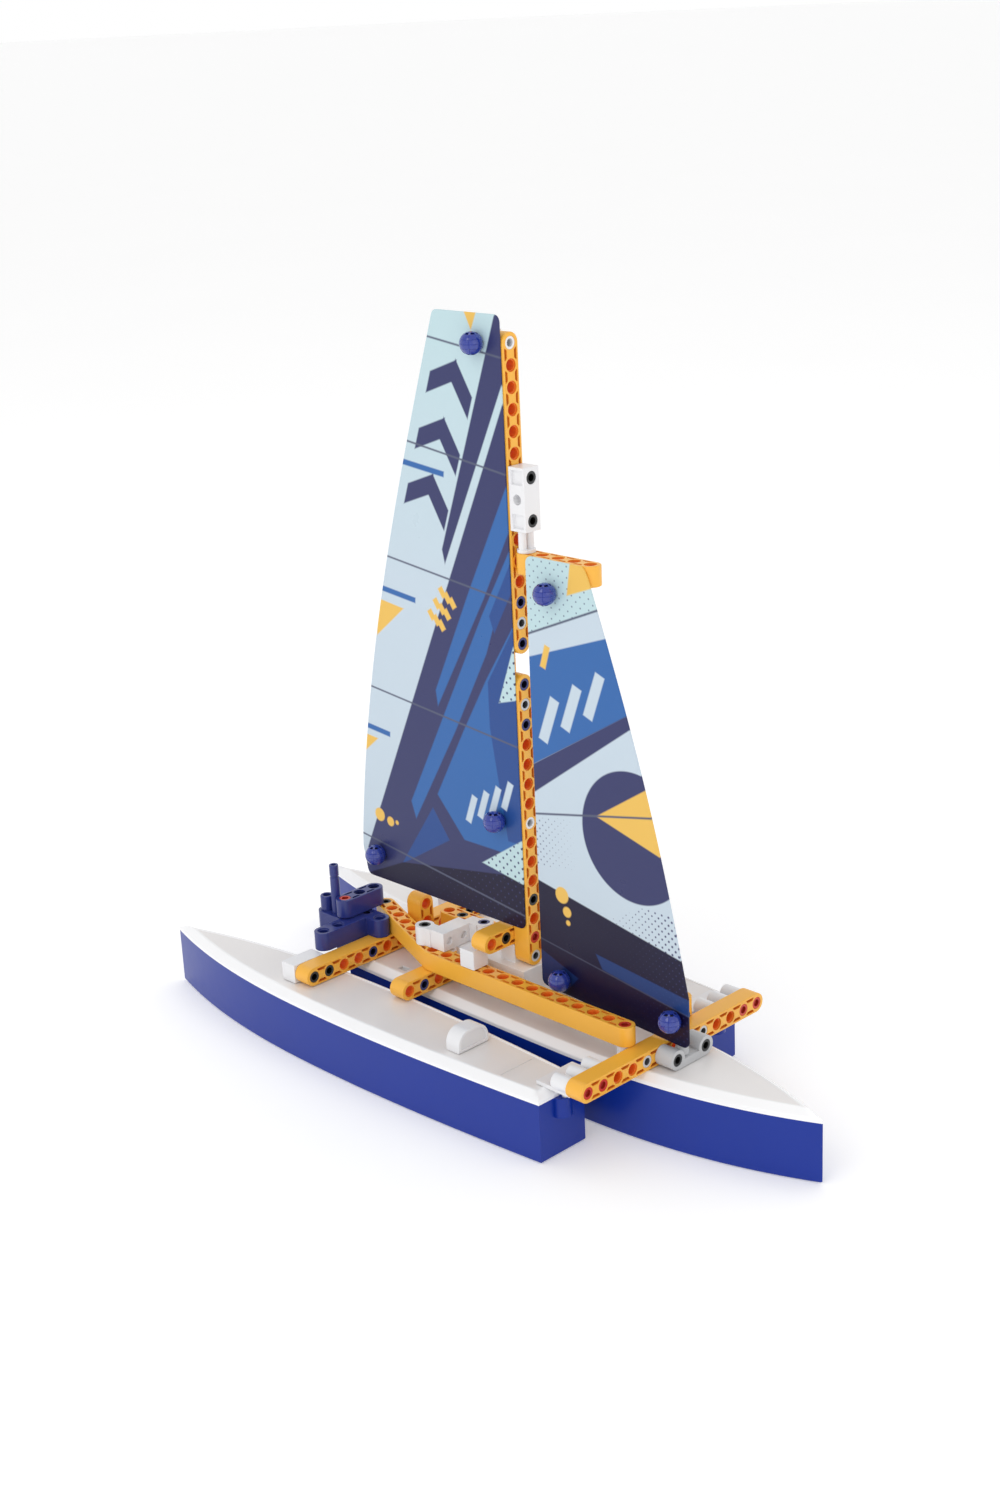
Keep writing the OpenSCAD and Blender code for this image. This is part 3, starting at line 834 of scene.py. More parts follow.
class TRIMARAN_OT_decks(bpy.types.Operator):
    """Build the three decks with their panels and pockets"""

    bl_idname = "trimaran.decks"
    bl_label = "Decks"

    def execute(self, context):
        place = grid(POCKETS_X, 0, 0)
        pockets = [
            (Vector((place.x, place.y + side * POCKET_Y * PITCH)), POCKET_SIZE, POCKET_FLOOR)
            for side in (-1, 1)
        ]
        deck(context, "centre_deck", centre_form(), pockets)
        for side in ("starboard", "port"):
            form = float_form(side)
            place = Vector((grid(FLOAT_SEAM_X, 0, 0).x, form.middle))
            seam = [(place, SEAM_SIZE, SEAM_DEPTH)]
            deck(context, "float_deck_" + side, form, seam)
        return {"FINISHED"}


FITTING_FOOT = 0.45  # half the arch's width as a share of the fitting's
FITTING_ARCH = 0.68  # the shoulders' radius as a share of the height
FITTING_EDGE = 0.5 * MM
FITTING_BORDER = 1.5 * MM
FITTING_PANEL = 0.5 * MM
ARCH_STEPS = 12


def deck_fitting(node, material):
    """An arched fitting with a sunk panel on its two upright faces"""
    low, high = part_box(node)
    size = high - low
    middle = (low + high) / 2
    foot = size.y * FITTING_FOOT
    corners = [Vector((x, z)) for x, z in ((-foot, 0), (foot, 0), (foot, size.z), (-foot, size.z))]
    arched = rounded(corners, size.z * FITTING_ARCH, ARCH_STEPS)
    outline = corners[:2] + arched[2 * (ARCH_STEPS + 1):]
    half = size.x / 2
    bm = new_mesh()
    borders = bar_rings(bm, outline, half, FITTING_EDGE)
    panel = inset_outline(outline, FITTING_BORDER)
    # The third numbers paint a faint shade into the sunk panel
    sunk = [
        (half, 0, 0), (half - 0.1 * MM, 0.1 * MM, 0.02), (half - FITTING_PANEL, 0.15 * MM, 0.1),
    ]
    borders += opening(bm, panel, sunk, closed=True)
    fill(bm, borders)
    mirrored(bm)
    upright = frame_at(Vector((middle.x, middle.y, low.z)), ASIDE, AHEAD)
    bmesh.ops.transform(bm, matrix=upright, verts=bm.verts)
    return publish(bm, node, [material])


SMALL_EDGE = 0.6


class TRIMARAN_OT_deck_hardware(bpy.types.Operator):
    """Build the fittings and brackets that stand on the decks"""

    bl_idname = "trimaran.deck_hardware"
    bl_label = "Deck hardware"

    def execute(self, context):
        width = context.scene.kit_sizes.block_edge
        white = white_material(context)
        for side in ("starboard", "port"):
            deck_fitting("deck_fitting_" + side, white)
            softened("bow_bracket_" + side, white, width * SMALL_EDGE)
            softened("stern_bracket_" + side, white, width)
        return {"FINISHED"}


# ---- Frame and mast ----


def bar_path(holes):
    """The path of a straight beam with that many holes"""
    return [(0, 0), (holes - 1, 0)]


class TRIMARAN_OT_frame_beams(bpy.types.Operator):
    """Build the crossbeams and the two rails"""

    bl_idname = "trimaran.frame_beams"
    bl_label = "Frame beams"

    def execute(self, context):
        for node, x, holes in (
            ("bow_crossbeam", 0, CROSS_HOLES),
            ("mid_crossbeam", MID_X, MID_HOLES),
            ("stern_crossbeam", STERN_X, STERN_HOLES),
        ):
            start = grid(x, -(holes - 1) / 2, 0)
            kit_beam(context, node, bar_path(holes), frame_at(start, ASIDE, AHEAD))
        bend = Vector((RAIL_HOLES - 1, 0))
        tip = bend + ARM_HOLES * Vector((math.cos(ARM_ANGLE), -math.sin(ARM_ANGLE)))
        aft = (-1, 0, 0)
        starboard = frame_at(grid(RAIL_X, -RAIL_Y, 1), aft, UPWARD)
        kit_beam(context, "starboard_rail", [(0, 0), bend, tip], starboard)
        port = frame_at(grid(RAIL_X, RAIL_Y, 1), aft, UPWARD)
        kit_beam(context, "port_rail", bar_path(PORT_RAIL_HOLES), port)
        brace = frame_at(grid(MAST_X - 1, -RAIL_Y, BRACE_Z), ASIDE, AHEAD)
        kit_beam(context, "mast_brace", bar_path(SHORT_BEAM_HOLES), brace)
        upright = frame_at(grid(STERN_X + 1, 1, 0), UPWARD, AHEAD)
        kit_beam(context, "stern_upright", bar_path(UPRIGHT_HOLES), upright)
        return {"FINISHED"}


class TRIMARAN_OT_mast(bpy.types.Operator):
    """Build the two mast beams, their splice, the boom and the beam at the head of the jib"""

    bl_idname = "trimaran.mast"
    bl_label = "Mast and boom"

    def execute(self, context):
        for node, x, foot, holes in (
            ("mast_lower", MAST_X, MAST_FOOT, MAST_HOLES),
            ("mast_upper", MAST_X, UPPER_FOOT, MAST_HOLES),
            ("mast_splice", MAST_X - 1, SPLICE_Z, SPLICE_HOLES),
        ):
            kit_beam(context, node, bar_path(holes), frame_at(grid(x, 0, foot), UPWARD, AHEAD))
        head = frame_at(grid(MAST_X + 1, 0, JIB_HEAD_Z), AHEAD, UPWARD)
        kit_beam(context, "jib_head_beam", bar_path(SHORT_BEAM_HOLES), head)
        softened("boom", beam_material(context), context.scene.kit_sizes.edge)
        return {"FINISHED"}


# ---- White and grey blocks ----

WINDOW_HEIGHTS = 0.45, 1.55  # the windows end here, in pitches above the block's lower hole
WINDOW_BORDER, WINDOW_DEPTH, WINDOW_SLOPE = 1.3 * MM, 1.6 * MM, 0.15 * MM
PEG_WALL, PEG_DEPTH, PEG_SLOPE = 1.15 * MM, 3.0 * MM, 0.1 * MM
ROUND_FACE = 8  # a flat face with more corners than this is the end of a peg
ALONG = 0.99
BOW_EDGE, MASTHEAD_EDGE = 1.3, 0.7


def side_windows(bm):
    """Square windows sunk into both side faces of the masthead block"""
    low, high = (grid(0, 0, BLOCK_Z + rise).z for rise in WINDOW_HEIGHTS)
    for height in (low, high):
        bmesh.ops.bisect_plane(
            bm, geom=everything(bm), dist=0, plane_co=(0, 0, height), plane_no=UPWARD,
        )
    for side in (-1, 1):
        for is_zone in (lambda z: z < low, lambda z: z > high):
            faces = [
                f for f in bm.faces
                if f.normal.y * side > ALONG and is_zone(f.calc_center_median().z)
                and abs(f.calc_center_median().y - ORIGIN.y) > HALF * 0.95
            ]
            inset(bm, faces, WINDOW_BORDER, 0)
            inset(bm, faces, WINDOW_SLOPE, -WINDOW_DEPTH)


def peg_hollow(bm):
    """A hollow sunk into the end of the peg that faces the bow, with painted shade in it"""
    front = max(v.co.x for v in bm.verts)
    ends = [
        f for f in bm.faces
        if f.normal.x > ALONG and len(f.verts) > ROUND_FACE
        and f.calc_center_median().x > front - STEP
    ]
    if not ends:
        raise RuntimeError("a luff block has no round peg end")
    inset(bm, ends, PEG_WALL, 0)
    inset(bm, ends, PEG_SLOPE, -PEG_DEPTH)
    # Painted shade in the hollow
    mark_recess(bm, ends)


def turned(bm, profile, matrix, steps=32, hollow=()):
    """Spins a profile of (radius, height) points about local Z; hollow lists the shaded points"""
    layer = bm.verts.layers.float["recess"]
    chain = [bm.verts.new((radius, 0, height)) for radius, height in profile]
    for k in hollow:
        chain[k][layer] = 1
    edges = [bm.edges.new(pair) for pair in zip(chain, chain[1:])]
    old = set(bm.verts) - set(chain)
    bmesh.ops.spin(
        bm, geom=chain + edges, cent=(0, 0, 0), axis=UPWARD, dvec=(0, 0, 0), angle=math.tau,
        steps=steps, use_merge=True, use_normal_flip=False, use_duplicate=False,
    )
    fresh = [v for v in bm.verts if v not in old]
    bmesh.ops.remove_doubles(bm, verts=fresh, dist=WELD)
    fresh = [v for v in bm.verts if v not in old]
    bmesh.ops.transform(bm, matrix=matrix, verts=fresh)


def round_piece(node, material, profile, place, hollow=()):
    """One turned piece that stands upright at a place"""
    bm = new_mesh()
    turned(bm, profile, Matrix.Translation(place), hollow=hollow)
    publish(bm, node, [material])


POST_RADIUS = 3.4 * MM
POST_FOOT = 2.5 * MM
POST_WAIST = 0.88
POST_WAIST_TOP, POST_SHOULDER = 0.55, 0.58


class TRIMARAN_OT_blocks(bpy.types.Operator):
    """Build the white and grey blocks of the frame and the rig"""

    bl_idname = "trimaran.blocks"
    bl_label = "Blocks"

    def execute(self, context):
        width = context.scene.kit_sizes.block_edge
        white = white_material(context)
        grey = grey_material(context)
        for node in (
            "rail_posts", "mast_step", "brace_blocks", "mid_bridge", "masthead_stem",
            "jib_head_block", "jib_foot_post",
        ):
            softened(node, white, width)
        for node in ("luff_block_head", "luff_block_tack"):
            softened(node, white, width, peg_hollow)
        softened("masthead_block", white, width * MASTHEAD_EDGE, side_windows)
        softened("bow_connector", grey, width * BOW_EDGE)
        low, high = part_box("jib_tack_post")
        tall, radius = high.z - low.z, POST_RADIUS
        waist = radius * POST_WAIST
        post = [
            (0, 0), (radius, 0), (radius, POST_FOOT), (waist, POST_FOOT + 0.4 * MM),
            (waist, tall * POST_WAIST_TOP), (radius, tall * POST_SHOULDER),
            (radius, tall - 0.8 * MM), (radius - 0.6 * MM, tall), (0, tall),
        ]
        place = Vector(((low.x + high.x) / 2, low.y + radius, low.z))
        round_piece("jib_tack_post", grey, post, place)
        return {"FINISHED"}


# ---- Helm ----

CHAMFER = 0.3 * MM
ROD_GROOVE_LOW, ROD_GROOVE_HIGH = 7 * MM, 5.9 * MM  # below the rod's top
ROD_GROOVE, ROD_BORE, ROD_BORE_DEPTH = 0.86, 0.5, 4 * MM
BUSH_SHANK, BUSH_SHANK_TOP = 0.7, 8 * MM
BUSH_BORE, BUSH_BORE_DEPTH = 0.58, 5 * MM


def helm_rod(radius, tall):
    """Profile of the handle rod, with a groove below its hollow top"""
    groove, bore = radius * ROD_GROOVE, radius * ROD_BORE
    return [
        (0, 0), (radius * 0.95, 0), (radius, CHAMFER), (radius, tall - ROD_GROOVE_LOW),
        (groove, tall - ROD_GROOVE_LOW + CHAMFER), (groove, tall - ROD_GROOVE_HIGH - CHAMFER),
        (radius, tall - ROD_GROOVE_HIGH), (radius, tall - CHAMFER), (radius * 0.93, tall),
        (radius * 0.6, tall), (radius * 0.52, tall - CHAMFER), (bore, tall - ROD_BORE_DEPTH),
        (0, tall - ROD_BORE_DEPTH),
    ]


def helm_bush(radius, tall):
    """Profile of the bush, a hollow head on a narrower shank"""
    shank, bore = radius * BUSH_SHANK, radius * BUSH_BORE
    return [
        (0, 0), (shank, 0), (shank, BUSH_SHANK_TOP), (radius, BUSH_SHANK_TOP),
        (radius, tall - 0.4 * MM), (radius * 0.9, tall), (radius * 0.66, tall),
        (radius * 0.6, tall - CHAMFER), (bore, tall - BUSH_BORE_DEPTH),
        (0, tall - BUSH_BORE_DEPTH),
    ]


class TRIMARAN_OT_helm(bpy.types.Operator):
    """Build the helm frame, its bush, the handle rod and the tiller bar"""

    bl_idname = "trimaran.helm"
    bl_label = "Helm"

    def execute(self, context):
        width = context.scene.kit_sizes.block_edge
        blue = helm_material(context)
        for node in ("helm_bracket", "helm_frame"):
            softened(node, blue, width)
        # The listed points of each bore get painted shade
        for node, profile, hollow in (
            ("helm_handle", helm_rod, (11, 12)), ("helm_bush", helm_bush, (8, 9)),
        ):
            low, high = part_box(node)
            place = Vector(((low.x + high.x) / 2, (low.y + high.y) / 2, low.z))
            outline = profile((high.x - low.x) / 2, high.z - low.z)
            round_piece(node, blue, outline, place, hollow)
        low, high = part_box("tiller_bar")
        start = Vector((grid(TILLER_X, 0, 0).x, grid(0, HELM_Y, 0).y, (low.z + high.z) / 2))
        bar = frame_at(start, ASIDE, UPWARD)
        kit_beam(context, "tiller_bar", bar_path(TILLER_HOLES), bar, blue)
        return {"FINISHED"}


# ---- Pins ----

LONG_PIN, SHORT_PIN = 1.9, 0.94  # in pitches, like the other lengths of pins
HELM_PIN = -12.66, 0.5, 2, 1.3
CROSS_PIN, RAIL_PIN = 1.7, 1.15
COLLAR, SHAFT = 3.0 * MM, 2.45 * MM
COLLAR_HEIGHT = 0.7 * MM
SUNK = 0.1 * MM
ROUNDING = 0.15 * MM
DEEP_BORE, SHALLOW_BORE = 5.5 * MM, 1.4 * MM


def pin_shape(bm, bore, matrix, length, bore_depth):
    """A pin whose ringed head lies just inside the face at local Z = 0, with a hollow down it that
    is painted with shade
    """
    profile = [
        (0, -length), (SHAFT - CHAMFER, -length), (SHAFT, -length + CHAMFER),
        (SHAFT, -COLLAR_HEIGHT), (COLLAR, -COLLAR_HEIGHT), (COLLAR, -SUNK - ROUNDING),
        (COLLAR - ROUNDING, -SUNK), (bore + ROUNDING, -SUNK), (bore, -SUNK - ROUNDING),
        (bore, -bore_depth), (0, -bore_depth),
    ]
    # The bore's points get painted shade
    turned(bm, profile, matrix, steps=24, hollow=(8, 9, 10))


def pin_group(context, node, material, forward, upward, bore_depth=DEEP_BORE):
    """All pins of one colour: forward ones face the bow, upward ones face up"""
    bore = context.scene.kit_sizes.pin_bore
    bm = new_mesh()
    for pins, facing, across in ((forward, AHEAD, ASIDE), (upward, UPWARD, AHEAD)):
        for x, y, z, length in pins:
            face = grid(x, y, z) + Vector(facing) * HALF
            pin_shape(bm, bore, frame_at(face, across, facing), length * PITCH, bore_depth)
    publish(bm, node, [material])


class TRIMARAN_OT_pins(bpy.types.Operator):
    """Build the black, blue, grey and red pins"""

    bl_idname = "trimaran.pins"
    bl_label = "Pins"

    def execute(self, context):
        colours = context.scene.kit_colours
        arm = Vector((-math.cos(ARM_ANGLE), math.sin(ARM_ANGLE)))
        bend = Vector((BEND_X, -RAIL_Y))
        arm_first, arm_end = bend + arm, bend + arm * ARM_HOLES
        outer = [y * side for side in (-1, 1) for y in (6, 5)]
        pin_group(
            context, "black_pins", black_material(context),
            [(STERN_X, y, 0, LONG_PIN) for y in outer]
            + [(1, y, 0, LONG_PIN) for y in (-1, 1)]
            + [(MAST_X - 1, y, BRACE_Z, SHORT_PIN) for y in (-1, 1)]
            + [(MAST_X + 1, 0, BLOCK_Z + k, LONG_PIN) for k in (0, 2)]
            + [(MAST_X, 0, 5, LONG_PIN)],
            [
                (arm_end.x, arm_end.y, 1, LONG_PIN), (arm_first.x, arm_first.y, 2, LONG_PIN),
                (RAIL_X - PORT_RAIL_HOLES + 2, RAIL_Y, 1, SHORT_PIN),
            ],
        )
        # deep is the painted shade in the bores
        navy = plastic(
            "Dark blue pin", colours.navy_pin, 0.34, grain=0.1, deep=tone(14, 16, 46), coat=0.15
        )
        pin_group(
            context, "blue_pins", navy,
            [(MAST_X, 0, SPLICE_Z + k, LONG_PIN) for k in (0, 2)]
            + [(MAST_X, 0, UPPER_FOOT + k, LONG_PIN) for k in (0, 2)]
            + [(MID_X, y, 0, SHORT_PIN) for y in (-3, 3)]
            + [(STERN_X, HELM_Y, 0, LONG_PIN), (STERN_X + 1, 1, 0, LONG_PIN)],
            [(STERN_X - 1, -1, 1, LONG_PIN), HELM_PIN],
        )
        # deep is the painted shade in the bores
        grey = plastic(
            "Light grey pin", colours.grey_pin, 0.36, grain=0.1, deep=tone(96, 96, 98), coat=0.1,
            flow=0.02,
        )
        pin_group(
            context, "white_pins", grey,
            [(0, y, 0, CROSS_PIN) for y in (-RAIL_Y, RAIL_Y)]
            + [(MAST_X, 0, SPLICE_Z + k, LONG_PIN) for k in (1, 5)]
            + [(MAST_X, 0, MAST_FOOT, LONG_PIN)],
            [],
        )
        # deep is the painted shade in the bores
        red = plastic("Red pin", colours.red, 0.36, grain=0.1, deep=tone(168, 34, 14), coat=0.15)
        low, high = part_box("tiller_bar")
        lift = ((low.z + high.z) / 2 - ORIGIN.z) / PITCH
        pin_group(
            context, "red_pins", red,
            [(0, y, 0, LONG_PIN) for y in outer] + [(MAST_X, 0, BRACE_Z, LONG_PIN)],
            [(RAIL_X, y, 1, RAIL_PIN) for y in (-RAIL_Y, RAIL_Y)]
            + [(TILLER_X, HELM_Y, lift, LONG_PIN)],
            bore_depth=SHALLOW_BORE,
        )
        return {"FINISHED"}


# ---- Knobs ----

KNOB_SEGMENTS = 36
KNOB_RINGS = 24
KNOB_TURN = 5  # degrees, like the angles below
SECTOR = 60
BAND = 22.5
PANEL_TILT = 52
SLOT_TILT = 67.5
SLOT_SIDES = 10, 50
GROOVE = 0.12 * MM
SLOT_DEPTH = 0.9 * MM


def knob_fields(bm):
    """Groups the ball's faces into raised panels and, near its two ends, into slots"""
    panels, slots = {}, {}
    for face in bm.faces:
        middle = face.calc_center_median()
        turn = (math.degrees(math.atan2(middle.y, middle.x)) - KNOB_TURN) % 360
        tilt = math.degrees(math.asin(max(-1, min(1, middle.z / middle.length))))
        sector = int(turn // SECTOR)
        if abs(tilt) <= PANEL_TILT:
            band = sum(tilt >= limit for limit in (-BAND, 0, BAND))
            panels.setdefault((sector, band), []).append(face)
        elif abs(tilt) < SLOT_TILT and SLOT_SIDES[0] < turn % SECTOR < SLOT_SIDES[1]:
            slots.setdefault((sector, tilt > 0), []).append(face)
    return panels.values(), slots.values()


def ball_knob(node, material):
    """A ball with grooves between its panels and slots near its upper and lower ends"""
    low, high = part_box(node)
    radius = (high.x - low.x) / 2
    centre = Vector(((low.x + high.x) / 2, low.y + radius, (low.z + high.z) / 2))
    bm = new_mesh()
    bmesh.ops.create_uvsphere(
        bm, u_segments=KNOB_SEGMENTS, v_segments=KNOB_RINGS, radius=radius - GROOVE
    )
    turn = Matrix.Rotation(math.radians(KNOB_TURN), 3, "Z")
    bmesh.ops.rotate(bm, cent=(0, 0, 0), matrix=turn, verts=bm.verts)
    panels, slots = knob_fields(bm)
    for faces in panels:
        inset(bm, faces, GROOVE * 0.8, GROOVE)
    for faces in slots:
        inset(bm, faces, GROOVE, -SLOT_DEPTH)
        # Painted shade in the slots
        mark_recess(bm, faces)
    bmesh.ops.translate(bm, vec=centre, verts=bm.verts)
    cut_off(bm, everything(bm), (0, high.y, 0), ASIDE)
    publish(bm, node, [material])


class TRIMARAN_OT_knobs(bpy.types.Operator):
    """Build the six ball knobs that clamp the sails"""

    bl_idname = "trimaran.knobs"
    bl_label = "Ball knobs"

    def execute(self, context):
        # deep is the painted shade in the slots
        material = plastic(
            "Blue knob", context.scene.kit_colours.knob, 0.16, grain=0.01, deep=tone(10, 14, 50),
            coat=0.7, ripple=0.1,
        )
        for place in (
            "main_head", "main_tack", "main_clew", "jib_head", "jib_foot", "jib_tack",
        ):
            ball_knob("knob_" + place, material)
        axles = frame["nodes"]["knob_axles"]
        axles.data.materials.clear()
        axles.data.materials.append(black_material(context))
        return {"FINISHED"}


# ---- Sails: all numbers of the prints are places and widths in pitches ----

BLUR = 14.0  # sharpness of the print's edges, per pitch
PRINT_SHIFT = 0.5
COARSE, FINE = 0.52, 0.4  # steps of the two dot screens
SCREEN_OFFSET = 64  # keeps the screen's coordinate above zero
SAIL_SPECK_SCALE, SAIL_PATCH_SCALE, SAIL_RIPPLE_SCALE = 1500.0, 60.0, 9.0
SAIL_GRAIN, SAIL_RIPPLE = 0.4, 6.0
SAIL_ROUGHNESS, SAIL_PATCH_GLOSS = 0.30, 0.12
SAIL_BUMP, SAIL_BUMP_DEPTH = 0.2, 0.03 * MM


class Print:
    """Flat artwork in pitches: shapes are masks from 0 to 1, laid over each other as paint"""

    def __init__(self, name, ground):
        self.shader = Shader(name)
        x, _, z = self.shader.axes()
        self.x = (x - ORIGIN.x) / PITCH - PRINT_SHIFT
        self.z = (z - ORIGIN.z) / PITCH
        self.colour = ground

    def paint(self, colour, mask):
        self.colour = self.shader.mix(self.colour, colour, mask)

    def edge(self, start, end):
        """Signed distance to a line, positive on its left"""
        direction = (Vector(end) - Vector(start)).normalized()
        offset = direction.y * start[0] - direction.x * start[1]
        sloped = self.z.maths("MULTIPLY_ADD", direction.x, offset)
        return self.x.maths("MULTIPLY_ADD", -direction.y, sloped)

    def soft(self, distance):
        """A mask that is 1 where a distance is positive"""
        return distance.maths("MULTIPLY_ADD", BLUR, 0.5, clamp=True)

    def shape(self, *corners):
        """Mask of a convex shape whose corners run anticlockwise"""
        distance = None
        for start, end in zip(corners, corners[1:] + corners[:1]):
            side = self.edge(start, end)
            distance = side if distance is None else distance.least(side)
        return self.soft(distance)

    def fields(self, colours, table):
        """Paints rows of a colour's name and a shape's corners"""
        for name, *corners in table:
            self.paint(getattr(colours, name), self.shape(*corners))

    def above(self, start, end):
        return self.soft(self.edge(start, end))

    def disc(self, centre, radius):
        across, up = self.x - centre[0], self.z - centre[1]
        reach = (across * across + up * up).maths("SQRT")
        return self.soft(radius - reach)

    def discs(self, colour, table):
        for x, z, radius in table:
            self.paint(colour, self.disc((x, z), radius))

    def line(self, start, end, width):
        return self.soft(width - abs(self.edge(start, end)))

    def bar(self, start, end, width):
        """Mask of a thick stroke with square ends"""
        start, end = Vector(start), Vector(end)
        along = (end - start).normalized()
        across = Vector((along.y, -along.x)) * width
        corners = (start + across, end + across, end - across, start - across)
        return self.shape(*[tuple(c) for c in corners])

    def bars(self, colour, first, step, count, reach, width):
        """A row of like strokes"""
        for k in range(count):
            start = Vector(first) + Vector(step) * k
            self.paint(colour, self.bar(start, start + Vector(reach), width))

    def dots(self, step, radius, fade=None):
        """A staggered screen of dots"""
        u = ((self.x + self.z) / step).maths("FRACT") - 0.5
        v = ((self.x - self.z) / step + SCREEN_OFFSET).maths("FRACT") - 0.5
        reach = (u * u + v * v).maths("SQRT")
        size = fade * (radius / step) if fade is not None else radius / step
        return self.soft((size - reach) * step)

    def chevron(self, colour, apex, along, arm=1.25, spread=1.45, width=0.55):
        """Two strokes that meet in a point; they overlap a little where they meet"""
        along = Vector(along).normalized()
        across = Vector((along.y, -along.x))
        thick = along * width
        for side in (-1, 1):
            end = apex - along * arm + across * spread * side
            inner = apex - across * 0.05 * side
            corners = [inner - thick, end - thick, end + thick, inner + thick]
            self.paint(colour, self.shape(*[tuple(c) for c in corners[::side]]))

    def finish(self):
        """The printed sheet's own slight gloss and ripple"""
        speck = self.shader.noise(SAIL_SPECK_SCALE, 2.0)
        patch = self.shader.noise(SAIL_PATCH_SCALE, 3.0)
        gloss = SAIL_ROUGHNESS + (patch - 0.5) * SAIL_PATCH_GLOSS
        ripple = self.shader.noise(SAIL_RIPPLE_SCALE, 1.0)
        height = speck * SAIL_GRAIN + ripple * SAIL_RIPPLE
        normal = self.shader.bump(height, SAIL_BUMP, SAIL_BUMP_DEPTH)
        return self.shader.finish(self.colour, gloss, normal, coat_roughness=0.2, specular=0.3)


MAIN_BAND = (-20.6, 4.9), (-9.0, 29.5)
MAIN_FIELDS = (
    ("slate", (-13.45, 21.3), (-8.8, 30.75), (-8.8, 34), (-9.4, 33.2), (-13.6, 22.0)),
    (
        "mid", (-14.5, 14.0), (-10.9, 20.0), (-8.8, 23.9), (-8.8, 26.1), (-12.0, 20.0),
        (-14.6, 14.8),
    ),
    (
        "mid", (-16.6, 7.6), (-13.3, 13.0), (-10.9, 17.3), (-8.8, 22.6), (-8.8, 23.0),
        (-11.3, 18.8), (-13.9, 14.0), (-16.9, 8.5),
    ),
    ("mid_deep", (-10.3, 18.4), (-8.8, 21.0), (-8.8, 22.4), (-10.6, 19.2)),
    (
        "mid", (-13.1, 7.3), (-8.8, 7.3), (-8.8, 19.3), (-11.0, 16.0), (-12.8, 13.0),
        (-14.9, 9.3),
    ),
    # Painted shade: a deeper blue strip along the luff, beside the mast
    ("mid_deep", (-10.0, 8.0), (-8.8, 8.0), (-8.8, 19.2), (-10.9, 15.9), (-10.9, 13.6)),
    ("mid_deep", (-17.9, 4.8), (-14.2, 7.0), (-15.3, 8.5)),
)
MAIN_FOOT = (-21.4, 3.2), (-8.8, 3.2), (-8.8, 9.05), (-17.8, 4.9), (-21.4, 4.3)
MAIN_SCREENS = (
    ((-11.9, 6.4), (-8.8, 5.9), (-8.8, 8.4)),
    ((-10.2, 15.0), (-8.8, 15.4), (-8.8, 18.7)),
)
CHEVRON_TOP, CHEVRON_STEP, CHEVRON_COUNT = Vector((-12.15, 30.6)), Vector((0.36, 1.0)) * 2.75, 3
CHEVRON_ALONG = 0.343, 0.939
MAIN_SEAMS = (
    ((-13.6, 32.0), (-9.1, 31.4)),
    ((-15.7, 27.0), (-9.1, 26.1)),
    ((-17.5, 21.1), (-9.1, 20.1)),
    ((-19.4, 14.1), (-9.1, 13.0)),
    ((-20.9, 5.8), (-9.1, 4.3)),
)
MAIN_STROKES = (
    ((-16.4, 26.0), (-13.2, 25.65)),
    ((-18.4, 19.45), (-15.7, 19.15)),
    ((-20.2, 11.95), (-18.2, 11.75)),
)
MAIN_YELLOW = (
    ("yellow", (-18.7, 16.9), (-16.6, 18.6), (-18.5, 18.85)),
    ("yellow", (-20.3, 10.4), (-19.15, 11.35), (-20.2, 11.45)),
    ("yellow", (-10.9, 32.5), (-10.45, 33.5), (-11.4, 33.5)),
)
MAIN_DISCS = (-19.4, 7.15, 0.36), (-18.6, 6.95, 0.26), (-18.1, 7.0, 0.12)


def main_print(colours):
    """Slate and blue fields, chevrons, seams and yellow marks on a pale ground, with painted shade
    along the luff
    """
    art = Print("Main sail print", tuple(colours.pale))
    climb = (art.z - 20) / 14
    art.paint(tuple(colours.pale_top), climb.most(0))
    art.paint(colours.slate, 1 - art.above(*MAIN_BAND))
    art.fields(colours, MAIN_FIELDS)
    foot = art.shape(*MAIN_FOOT)
    art.paint(colours.navy, foot)
    fade = (art.x + 18) / 9
    art.paint(colours.slate, foot * art.dots(COARSE, 0.07, fade.most(0)) * 0.9)
    for corners in MAIN_SCREENS:
        mask = art.shape(*corners)
        art.paint(colours.pale_top, mask)
        art.paint(colours.slate, mask * art.dots(COARSE, 0.085))
    for k in range(CHEVRON_COUNT):
        art.chevron(colours.slate, CHEVRON_TOP - CHEVRON_STEP * k, CHEVRON_ALONG)
    art.bars(colours.pale, (-12.75, 8.35), (0.85, 0.42), 4, (0.55, 1.45), 0.2)
    for start, end in MAIN_SEAMS:
        art.paint(colours.seam, art.line(start, end, 0.045))
    for start, end in MAIN_STROKES:
        art.paint(colours.mid, art.bar(start, end, 0.14))
    art.fields(colours, MAIN_YELLOW)
    for row in range(3):
        first = (-14.75 + 0.42 * row, 18.85 + 0.62 * row)
        art.bars(colours.yellow, first, (0.34, -0.22), 3, (0.3, -0.45), 0.17)
    art.discs(colours.yellow, MAIN_DISCS)
    return art.finish()


